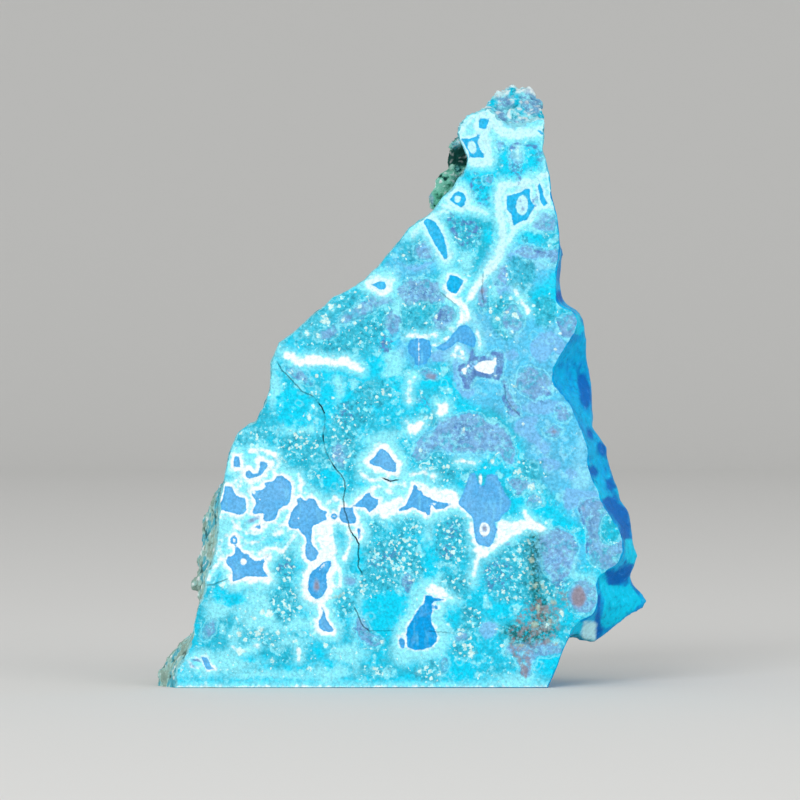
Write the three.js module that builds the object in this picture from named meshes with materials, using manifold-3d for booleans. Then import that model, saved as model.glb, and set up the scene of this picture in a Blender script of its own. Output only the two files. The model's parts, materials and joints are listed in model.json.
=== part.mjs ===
// Rough shattuckite: a hand-sized chunk of blue copper stone, sawn flat on its front and its base.
// Millimetres, +Z up. The sawn face looks towards -Y and leans back from the base.
// The right flank is broken in smooth shells, the left flank and the back are natural rough,
// and small round nodules grow on the upper left flank and on the back.
//
// Outlines are drawn on the sawn face: u runs right and v runs up the face from its foot.
// depth is measured straight back (+Y) from the sawn plane.

import * as THREE from "three";
import { ImprovedNoise } from "three/addons/math/ImprovedNoise.js";
import { mergeVertices } from "three/addons/utils/BufferGeometryUtils.js";
import Module from "manifold-3d";

// ---- driving dimensions -------------------------------------------------------------------

const FACE_LEAN = THREE.MathUtils.degToRad(10);   // the sawn face leans back from upright
const ORIGIN_U = 29.60;        // face position that stands over the part's origin
const ORIGIN_Y = 11.15;        // foot of the sawn face lies this far in front of the origin

const BACK_AT_FOOT = 16.5;    // how far the back lies behind the foot of the face, at the base
const BACK_AT_MIDDLE = 20.5;  // ... half-way up
const BACK_AT_TOP = 20.5;     // ... at the top
const HEIGHT_ALONG_FACE = 74.4;
const FLANK_DEPTH = 2.2;      // the flank is widest this far behind a plain edge of the face
const FLANK_SLOPE = 0.72;     // extra depth for each millimetre that a broken flank stands out
const KNOB_SLOPE = 0.34;      // ... and for the granular knob on top
const PLAIN_DRAW_IN = 0.45;   // a flank with a plain edge runs this far inside the edge
const BACK_ROUNDING_FOOT = 6.5;  // how far the outline draws in towards the back, low down
const BACK_ROUNDING_TOP = 1.8;   // ... and at the top
const SETTLE = 0.055;         // share of an edge over which the flank's small steps even out
const CUT_ALLOWANCE = 1.6;    // stone left in front of the sawn face and below the base

const STEPS_ACROSS = 18;
const STEPS_UP = 63;
const STEPS_BACK = 8;

// ---- outlines -----------------------------------------------------------------------------
// Each row is a point on the edge of the sawn face and, where the flank behind stands out
// beyond it, the widest point of the flank: [faceU, faceV] or [faceU, faceV, flankU, flankV].

const leftEdge = [
  // foot, with a rough lump outside the face
  [2.2, -2.6, 0.2, -2.6], [2.2, 0.2, -0.25, 0.0], [2.2, 1.4, -0.4, 1.3], [2.5, 2.9, 0.4, 2.6],
  [3.3, 3.8, 1.4, 3.9], [3.8, 4.8, 2.2, 5.0], [4.0, 5.9, 3.6, 5.6], [4.4, 7.6], [4.5, 8.6],
  // knobby sliver of natural skin
  [4.75, 9.7, 4.7, 9.8], [5.4, 10.8, 4.7, 11.2], [5.7, 12.0, 4.1, 12.3], [5.6, 13.0, 4.5, 13.3],
  [5.9, 14.2, 4.75, 14.8], [6.7, 15.5, 4.9, 16.4], [7.0, 17.0, 5.05, 18.0],
  [7.1, 18.6, 4.9, 19.5], [7.2, 20.3, 5.4, 20.8], [7.2, 21.6, 6.0, 22.2], [7.4, 23.0, 6.5, 23.7],
  [7.8, 25.0, 7.7, 25.0],
  // plain edge, stepping up and to the right
  [8.1, 26.6], [8.1, 27.9], [8.7, 29.6], [9.4, 31.0], [10.4, 32.0], [11.5, 32.3], [12.2, 33.6],
  [12.8, 35.0], [13.2, 36.4], [13.4, 38.2], [13.3, 39.8], [13.9, 40.9], [14.05, 42.1],
  [15.0, 42.6], [16.2, 43.5], [17.6, 44.8], [18.6, 45.8], [19.0, 46.5], [20.0, 46.8],
  [21.0, 48.0], [22.7, 48.6], [23.9, 49.5], [25.0, 50.2], [26.2, 51.5], [27.1, 52.4],
  [27.3, 53.0], [27.9, 53.4], [29.0, 54.9], [30.1, 56.4], [30.8, 57.1], [32.2, 57.9],
  // shaded hollow that the nodules fill
  [33.0, 58.3, 33.3, 57.9], [33.4, 59.2, 34.0, 58.9], [34.5, 60.6, 35.1, 60.1],
  [35.5, 61.6, 36.2, 61.2], [36.2, 62.7, 36.9, 62.4], [37.0, 63.6, 37.6, 63.2],
  [37.5, 64.7, 38.0, 64.7], [37.2, 66.1, 37.6, 66.3], [36.5, 67.2, 36.9, 67.5],
  [35.95, 68.2, 36.2, 68.2], [36.5, 69.5], [37.2, 70.5],
];

const topEdge = [
  [37.2, 70.5], [38.0, 71.0], [38.9, 71.3], [39.7, 71.8, 39.6, 71.9],
  // the sawn face stops here and a granular knob slopes back
  [40.4, 71.3, 40.1, 72.6], [41.0, 70.4, 40.8, 73.3], [42.0, 69.8, 41.7, 73.8],
  [42.7, 69.5, 42.6, 74.1], [43.2, 69.4, 43.2, 74.5], [43.9, 69.4, 43.7, 74.0],
  [44.7, 69.6, 44.6, 74.4], [45.4, 69.9, 45.5, 73.9], [46.0, 70.2, 46.1, 72.7],
  [46.5, 70.3, 46.8, 71.7], [46.9, 70.1, 47.0, 70.6],
];

const rightEdge = [
  // foot, undercut behind the face
  [46.0, -2.6], [46.6, -0.6], [47.2, 0.7], [48.0, 2.2], [48.5, 3.9], [49.2, 5.4], [49.6, 6.3],
  // broken shells that end in a point
  [49.9, 6.8, 50.6, 6.0], [50.1, 7.4, 52.0, 5.1], [50.4, 7.9, 53.1, 5.25], [51.4, 8.2, 54.5, 6.7],
  [52.4, 8.8, 56.0, 7.7], [52.9, 9.8, 57.6, 8.8], [53.15, 10.8, 59.4, 9.2],
  [52.9, 11.8, 59.5, 10.3], [52.8, 12.8, 58.5, 11.5], [53.3, 13.6, 57.5, 12.2],
  [54.4, 14.3, 57.2, 13.3], [55.6, 15.1, 57.7, 14.6], [56.2, 16.3, 58.2, 15.8],
  [56.1, 17.8, 57.6, 17.1], [55.7, 19.2, 57.4, 18.6], [55.0, 20.3, 57.3, 20.3],
  [54.2, 21.5, 56.9, 21.7], [53.5, 22.8, 55.9, 22.8], [53.2, 24.0, 55.8, 24.2],
  [52.3, 25.8, 55.2, 25.7], [52.0, 27.0, 54.7, 27.5], [52.0, 28.5, 54.6, 29.2],
  [51.8, 30.0, 53.4, 30.8], [51.3, 31.2, 52.5, 32.0], [50.7, 32.6, 52.8, 33.0],
  [50.1, 34.0, 52.7, 34.4],
  // a wide shell that bites into the sawn face
  [49.5, 35.5, 52.8, 35.6], [48.3, 36.2, 52.8, 36.7], [47.7, 37.4, 52.7, 37.6],
  [47.7, 38.6, 52.5, 38.4], [48.3, 40.0, 52.3, 39.6], [49.3, 41.7, 52.2, 40.9],
  [50.3, 42.9, 52.2, 42.2], [50.8, 44.2, 52.3, 43.5], [50.9, 45.2, 52.1, 44.8],
  [50.5, 46.1, 51.1, 46.2], [49.4, 46.5, 50.3, 46.8], [48.3, 46.9, 49.1, 47.2],
  // narrow broken edge up to the top
  [48.3, 48.2, 49.1, 48.2], [48.2, 49.5, 48.8, 49.5], [48.4, 51.5, 48.9, 51.5],
  [48.7, 53.6, 49.3, 53.4], [48.7, 55.2], [48.6, 56.8], [48.4, 58.3], [48.0, 59.6], [47.6, 61.0],
  [47.7, 62.8], [47.3, 64.2], [46.7, 66.1], [46.85, 67.4], [46.9, 68.8, 47.0, 69.2],
  [46.9, 70.1, 47.0, 70.6],
];

const footEdge = [[2.2, -2.6, 0.2, -2.6], [46.0, -2.6]];

// Round nodules: [u, v, depth, radius]. The first rows show past the upper left edge.
const nodules = [
  [36.45, 66.4, 4.7, 1.4], [36.1, 65.3, 5.4, 1.2], [35.95, 64.1, 4.9, 0.95],
  [34.75, 62.5, 5.2, 1.3], [34.3, 61.3, 5.6, 1.2], [33.5, 60.6, 4.9, 0.85],
  [33.7, 59.7, 4.5, 0.75], [37.2, 64.6, 6.2, 1.7], [36.0, 62.4, 7.2, 2.0],
  [34.6, 60.2, 7.6, 1.9], [37.2, 66.8, 6.2, 1.9],
  [32.9, 56.8, 7.4, 1.5], [30.8, 54.9, 8.2, 1.7], [28.8, 51.9, 8.6, 1.5], [26.0, 49.1, 7.8, 1.3],
  [4.6, 12.3, 5.4, 1.0], [5.4, 15.2, 6.0, 1.1], [5.9, 20.0, 6.4, 1.1],
];

// Grains of the granular knob on top: [u, v, depth, radius].
const grains = [
  [43.2, 73.6, 3.6, 1.0], [44.9, 73.5, 3.9, 1.1], [41.5, 73.0, 3.4, 1.0], [46.1, 72.2, 3.7, 0.9],
  [42.3, 72.0, 2.6, 0.9], [44.1, 72.1, 2.6, 1.0], [45.5, 71.4, 2.5, 0.8], [43.1, 70.9, 1.6, 0.8],
  [40.6, 72.0, 2.6, 0.7],
];

// Shells struck out of the broken flank: [u, v, depth, radius] of each ball.
const shells = [
  [72.6, 27.0, 15.5, 20.0],
  [69.4, 47.5, 13.5, 21.0],
  [67.0, 0.5, 18.5, 15.2],
  [64.2, 65.0, 8.0, 17.8],
];

// ---- helpers ------------------------------------------------------------------------------

const noise = new ImprovedNoise();

// A repeatable unevenness between about -1 and 1 whose lumps are `size` millimetres apart.
function lumps(point, size, shift) {
  const x = (point.x + ORIGIN_U) / size + shift;
  const y = (point.y + ORIGIN_Y) / size + 3.7;
  return 1.6 * noise.noise(x, y, point.z / size - shift);
}

// Places a point drawn on the face, `depth` behind the sawn plane.
function place(u, v, depth) {
  return new THREE.Vector3(
    u - ORIGIN_U,
    v * Math.sin(FACE_LEAN) + depth - ORIGIN_Y,
    v * Math.cos(FACE_LEAN),
  );
}

// An edge list as curves walked by distance, or by width where the edge runs across: the face's
// edge, the flank's widest line, and that line with its small steps evened out, which the flank
// follows further back.
function makeEdge(rows, slope, byWidth = false) {
  const face = rows.map(([u, v]) => new THREE.Vector2(u, v));
  const flank = rows.map(([u, v, outU = u, outV = v]) => new THREE.Vector2(outU, outV));
  const reach = [0];
  for (let i = 1; i < rows.length; i++) {
    const faceStride = face[i].clone().sub(face[i - 1]);
    const flankStride = flank[i].clone().sub(flank[i - 1]);
    const stride = byWidth ? flankStride.x : Math.max(faceStride.length(), flankStride.length());
    reach.push(reach[i - 1] + stride);
  }
  const walk = (line, fraction) => {
    const distance = THREE.MathUtils.clamp(fraction, 0, 1) * reach[reach.length - 1];
    let i = 1;
    while (i < reach.length - 1 && reach[i] < distance) i++;
    const along = (distance - reach[i - 1]) / (reach[i] - reach[i - 1]);
    return line[i - 1].clone().lerp(line[i], along);
  };
  return function (fraction) {
    const settled = new THREE.Vector2();
    const spread = SETTLE * Math.min(1, 8 * fraction, 8 * (1 - fraction));
    for (const shift of [-1, -0.5, 0, 0.5, 1]) {
      settled.add(walk(flank, fraction + shift * spread).multiplyScalar(0.2));
    }
    return { face: walk(face, fraction), flank: walk(flank, fraction), settled, slope };
  };
}

const left = makeEdge(leftEdge, FLANK_SLOPE);
const right = makeEdge(rightEdge, FLANK_SLOPE);
const top = makeEdge(topEdge, KNOB_SLOPE, true);
const foot = makeEdge(footEdge, FLANK_SLOPE, true);

// How far the natural back lies behind the sawn plane at a height v on the face.
function backDepth(v) {
  const height = THREE.MathUtils.clamp(v / HEIGHT_ALONG_FACE, 0, 1);
  const lower = THREE.MathUtils.lerp(BACK_AT_FOOT, BACK_AT_MIDDLE, Math.sin(height * Math.PI / 2));
  const bend = THREE.MathUtils.smoothstep(height, 0.45, 1);
  const back = THREE.MathUtils.lerp(lower, BACK_AT_TOP, bend);
  return back - v * Math.sin(FACE_LEAN);
}

// The outline point of an edge at one of the steps from the sawn face to the back.
// Drawing in goes towards `inward`, a point well inside the stone.
function edgePoint({ face, flank, settled, slope }, step, inward) {
  const standsOut = face.distanceTo(flank);
  const flankDepth = FLANK_DEPTH + slope * standsOut;
  if (step === 0) return { at: face.clone(), depth: -CUT_ALLOWANCE };
  if (step === 1) return { at: face.clone(), depth: 0.2 };
  if (step === 2) return { at: face.clone().lerp(flank, 0.42), depth: flankDepth * 0.5 };
  const plain = PLAIN_DRAW_IN * (1 - THREE.MathUtils.smoothstep(standsOut, 0, 0.5));
  const fraction = (step - 3) / (STEPS_BACK - 3);
  const bend = Math.sin(fraction * Math.PI / 2);
  const high = THREE.MathUtils.clamp(flank.y / HEIGHT_ALONG_FACE, 0, 1);
  const rounding = THREE.MathUtils.lerp(BACK_ROUNDING_FOOT, BACK_ROUNDING_TOP, high ** 2);
  const drawIn = rounding * (1 - Math.cos(fraction * Math.PI / 2)) + plain;
  const at = flank.clone().lerp(settled, Math.min(1, 1.6 * fraction));
  at.add(inward.clone().sub(at).setLength(drawIn));
  const depth = flankDepth + (backDepth(flank.y) - 0.6 - flankDepth) * bend;
  return { at, depth };
}

// A point of the whole grid: across 0..1, up 0..1, step 0..STEPS_BACK. A row runs straight from
// the left flank to the right one, bent near the foot and the top to meet their edges.
function gridPoint(across, up, step) {
  const middleOfRow = new THREE.Vector2(31, 18).lerp(new THREE.Vector2(42, 66), up);
  const sides = [left(up), right(up)].map((edge) => edgePoint(edge, step, middleOfRow));
  const bulge = step === STEPS_BACK ? Math.min(1, 24 * across * (1 - across) * up * (1 - up)) : 0;
  const row = (pair) => ({
    u: THREE.MathUtils.lerp(pair[0].at.x, pair[1].at.x, across),
    v: THREE.MathUtils.lerp(pair[0].at.y, pair[1].at.y, across),
    depth: THREE.MathUtils.lerp(pair[0].depth, pair[1].depth, across),
  });
  const point = row(sides);
  for (const end of [
    { edge: foot, at: 0, inside: new THREE.Vector2(24, 20), weight: 1 - up * 5 },
    { edge: top, at: 1, inside: new THREE.Vector2(42, 62), weight: 1 - (1 - up) * 5 },
  ]) {
    const weight = THREE.MathUtils.smoothstep(end.weight, 0, 1);
    const bent = edgePoint(end.edge(across), step, end.inside);
    const plain = row([left(end.at), right(end.at)].map((edge) =>
      edgePoint(edge, step, end.inside)));
    point.u += weight * (bent.at.x - plain.u);
    point.v += weight * (bent.at.y - plain.v);
    point.depth += weight * (bent.depth - plain.depth);
  }
  point.depth += 1.1 * bulge;
  return point;
}

// ---- the stone ----------------------------------------------------------------------------

const wasm = await Module();
wasm.setup();

function toSolid(geometry) {
  const bare = geometry.clone();
  bare.deleteAttribute("normal");
  bare.deleteAttribute("uv");
  const merged = mergeVertices(bare, 1e-4);
  return new wasm.Manifold(new wasm.Mesh({
    numProp: 3,
    vertProperties: new Float32Array(merged.attributes.position.array),
    triVerts: new Uint32Array(merged.index.array),
  }));
}

// How far a grid point moves out of the plain shape, in millimetres: nothing near the sawn face,
// little along the flank's widest line and near the slim top, and inwards on the plain left flank.
function roughness(point, v, depth, { across, step }) {
  const fade = THREE.MathUtils.smoothstep(depth, 2.0, 6.5);
  const slim = THREE.MathUtils.lerp(1, 0.55, THREE.MathUtils.smoothstep(v, 50, 68));
  const broken = across === 1 && v < 56;
  const strength = step <= 3 ? 0.12 : broken ? 0.5 : slim;
  const swells = 1.2 * lumps(point, 11, 17.9);
  const ledges = 1.7 * (0.4 - Math.abs(lumps(point, 8.5, 3.3)));
  const grit = 0.35 * lumps(point, 3.8, 8.8);
  const push = fade * strength * (swells + ledges + grit);
  const plain = across === 0 ? THREE.MathUtils.smoothstep(v, 18, 34) : 0;
  return THREE.MathUtils.lerp(push, Math.min(push, 0.1), plain);
}

// The uncut chunk: a box grid whose sides follow the outlines, made uneven away from the face.
function makeChunk() {
  const box = new THREE.BoxGeometry(1, 1, 1, STEPS_ACROSS, STEPS_BACK, STEPS_UP);
  const position = box.attributes.position;
  for (let i = 0; i < position.count; i++) {
    const across = Math.round((position.getX(i) + 0.5) * STEPS_ACROSS) / STEPS_ACROSS;
    const step = Math.round((position.getY(i) + 0.5) * STEPS_BACK);
    const up = Math.round((position.getZ(i) + 0.5) * STEPS_UP) / STEPS_UP;
    const { u, v, depth } = gridPoint(across, up, step);
    const point = place(u, v, depth);
    const push = roughness(point, v, depth, { across, step });
    const rim = Math.min(across, 1 - across, up, 1 - up);
    const sideways = push * (1 - THREE.MathUtils.smoothstep(rim, 0, 0.15));
    const out = new THREE.Vector2(u - 36, v - 36).normalize();
    point.x += out.x * sideways;
    point.z += out.y * sideways;
    if (step === STEPS_BACK) point.y += 1.3 * push;
    position.setXYZ(i, point.x, point.y, point.z);
  }
  return toSolid(box);
}

function makeBall([u, v, depth, radius], detail, uneven) {
  const ball = new THREE.IcosahedronGeometry(radius, detail);
  const centre = place(u, v, depth);
  const position = ball.attributes.position;
  for (let i = 0; i < position.count; i++) {
    const point = new THREE.Vector3().fromBufferAttribute(position, i);
    const spot = point.clone().add(centre);
    point.multiplyScalar(1 + uneven * lumps(spot, radius * 0.9, 5.9)).add(centre);
    position.setXYZ(i, point.x, point.y, point.z);
  }
  return toSolid(ball);
}

// A big block on the far side of a plane through `point`, for a saw cut.
function sawBlock(point, turn) {
  const size = 400;
  const block = new THREE.BoxGeometry(size, size, size);
  block.translate(0, -size / 2, 0);
  block.rotateX(turn);
  block.translate(point.x, point.y, point.z);
  return toSolid(block);
}

let stone = makeChunk();
for (const shell of shells) {
  stone = stone.subtract(makeBall(shell, 9, 0.02));
}
for (const grain of grains) {
  stone = stone.add(makeBall(grain, 1, 0.14));
}
for (const nodule of nodules) {
  stone = stone.add(makeBall(nodule, 2, 0.06));
}
stone = stone.subtract(sawBlock(place(0, 0, 0), -FACE_LEAN));
stone = stone.subtract(sawBlock(new THREE.Vector3(0, 0, 0), Math.PI / 2));

const cut = stone.getMesh();
const stoneGeometry = new THREE.BufferGeometry();
stoneGeometry.setAttribute("position", new THREE.BufferAttribute(cut.vertProperties, 3));
stoneGeometry.setIndex(new THREE.BufferAttribute(cut.triVerts, 1));
stoneGeometry.computeVertexNormals();

const stoneMaterial = new THREE.MeshStandardMaterial({
  color: 0x35c6e0,
  roughness: 0.45,
  metalness: 0.0,
  flatShading: true,
});
const stoneMesh = new THREE.Mesh(stoneGeometry, stoneMaterial);
stoneMesh.name = "stone";

const shattuckite = new THREE.Group();
shattuckite.add(stoneMesh);

export default shattuckite;
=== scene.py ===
"""Rough shattuckite: one stone, sawn flat in front and below, broken at the right, crusted behind.

Lengths in the stone's own drawing are millimetres. On the sawn face a place is 'u,v': u runs to the
right from the left edge and v runs up the leaning face from the base.

A drawing is a text of shapes parted by ';'. A shape of three places or more is a closed outline. One
of two is an oval: its middle, then its half width, half height and tilt in degrees, where a height
left out is the width and a tilt left out is none. In THREADS, SEAMS and CRACKS every shape is an open
line instead. Numbers before a ':' belong to the shape, and the drawing's comment says what they are.
"""

import json
import math
from functools import partialmethod
import bmesh
import bpy
import numpy as np
from mathutils import Matrix, Vector, noise

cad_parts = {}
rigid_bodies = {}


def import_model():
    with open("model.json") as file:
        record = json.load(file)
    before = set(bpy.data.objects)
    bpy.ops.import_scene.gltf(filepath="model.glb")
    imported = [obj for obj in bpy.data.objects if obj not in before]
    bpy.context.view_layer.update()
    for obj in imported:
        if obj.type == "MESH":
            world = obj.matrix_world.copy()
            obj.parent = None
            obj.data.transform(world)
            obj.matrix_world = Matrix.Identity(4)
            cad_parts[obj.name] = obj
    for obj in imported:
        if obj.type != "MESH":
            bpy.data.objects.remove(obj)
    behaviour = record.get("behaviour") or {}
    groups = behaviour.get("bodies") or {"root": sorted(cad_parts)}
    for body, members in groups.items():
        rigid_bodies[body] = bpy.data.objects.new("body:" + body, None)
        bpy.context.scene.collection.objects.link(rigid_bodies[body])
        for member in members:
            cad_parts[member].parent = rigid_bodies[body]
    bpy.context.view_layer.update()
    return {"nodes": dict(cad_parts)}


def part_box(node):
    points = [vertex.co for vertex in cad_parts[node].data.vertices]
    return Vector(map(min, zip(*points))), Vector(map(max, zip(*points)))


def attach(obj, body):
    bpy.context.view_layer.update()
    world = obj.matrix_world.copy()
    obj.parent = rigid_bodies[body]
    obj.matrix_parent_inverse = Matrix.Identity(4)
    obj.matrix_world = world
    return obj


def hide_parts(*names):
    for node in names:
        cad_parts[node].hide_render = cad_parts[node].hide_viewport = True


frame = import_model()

bl_info = {
    "name": "Rough Shattuckite",
    "version": (1, 0, 0),
    "blender": (4, 5, 0),
    "location": "3D View > Sidebar > Stone",
    "description": "Builds a sawn chunk of rough shattuckite and a plain stage for it",
    "category": "Add Mesh",
}

MM = 0.001
LEAN = math.radians(10)
BOX_LOW, BOX_HIGH = (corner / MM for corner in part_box("stone"))
FOOT = Vector((0, BOX_LOW.y, 0))
FACE_OUT = Vector((0, -math.cos(LEAN), math.sin(LEAN)))
FACE_UP = Vector((0, math.sin(LEAN), math.cos(LEAN)))
BASE, BASE_OUT = Vector((0, 0, 0)), Vector((0, 0, -1))
FACE_LEFT = 29.60
# Distances to the drawn shapes are kept up to this one.
FAR = 9.0
# How far behind the face its own markings and the flank's facets last, and how fast the facets end.
FACE_DEEP, FLANK_DEEP, FLANK_FADE = 0.3, 5.0, 0.3
# How far the block stands past both saw cuts until it is sawn.
SAW_SPARE = 1.6
# A face is flat on a saw cut when its normal and its middle are this near to the plane's.
FLAT, ON_PLANE = 0.9999, 0.01
WELD, CLEAN_CUT, STRIP_CUT = 1e-3, 1e-5, 1e-4
# Widths of the noise that shapes the rough sides, and the steps that the slabs are broken into.
STRAY, SWELL, SLAB, WEAR, GRIT, FINE_GRIT = 2.4, 5.5, 3.1, 1.3, 0.9, 0.45
LEDGES = 5
# Where a rough part of the stone begins, and from where it is whole: (u, v), the depth behind the face,
# or how squarely the skin faces right (the flank) or back (the sliver).
KNOB_FOOT, NODULES_FOOT, NODULES_TOP, NODULES_RIGHT = (67.5, 69.5), (56.5, 58), (70, 68), (38.5, 36.5)
NODULES_FRONT, NODULES_BACK = (0.3, 1.0), (10, 7)
FLANK_TOP, FLANK_LEFT, FLANK_TURN = (66, 62), (36, 40), (0.12, 0.42)
SLIVER_TOP, SLIVER_RIGHT, SLIVER_TURN = (31, 21), (9.5, 7), (0.8, 0.3)
# Heights above the base between which a tone comes in or dies away.
SPECKS_THIN, DARK_DOTS, RIMS_PALE, CORES_CYAN = (26, 40), (50, 56), (44, 54), (42, 50)
# The first two bound the band of nodules on which painted highlights are laid.
LIT_NODULE_FOOT, LIT_NODULE_TOP, MOSSY = (59.6, 60.8), (63.2, 62.2), (62.2, 63.8)
# noise_vector's offsets are drawn from this seed; unseeded, they would change with every run.
STRAY_SEED = 1
# The map: its margin, each chart's size to a millimetre, where the small charts start, and half the
# stone's width and depth with some room.
MARGIN, FRONT_CHART, SMALL_CHART, RIGHT_CHART, LEFT_CHART = 0.008, 0.0098, 0.0066, 0.0062, 0.0056
BACK_RIGHT, BASE_LEFT, BASE_FLOOR, LEFT_START, FLANK_FLOOR = 0.995, 0.61, 0.52, 0.52, 0.76
HALF_WIDE, HALF_DEEP = 30, 11.2
# The stage, in metres: half its floor, the sweep's radius, the wall, the lamps and the camera's place.
FLOOR_HALF, SWEEP, WALL, LAMP_SIDE = 1.5, 0.5, 1.5, 0.5
KEY_PLACE, FILL_PLACE = (-0.35, -0.75, 0.5), (0.6, -0.5, 0.3)
LAMPS_AIM = Vector((0, 0, 0.034))
CAMERA_SIDE, CAMERA_HEIGHT = -0.00044, 0.03456

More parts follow.
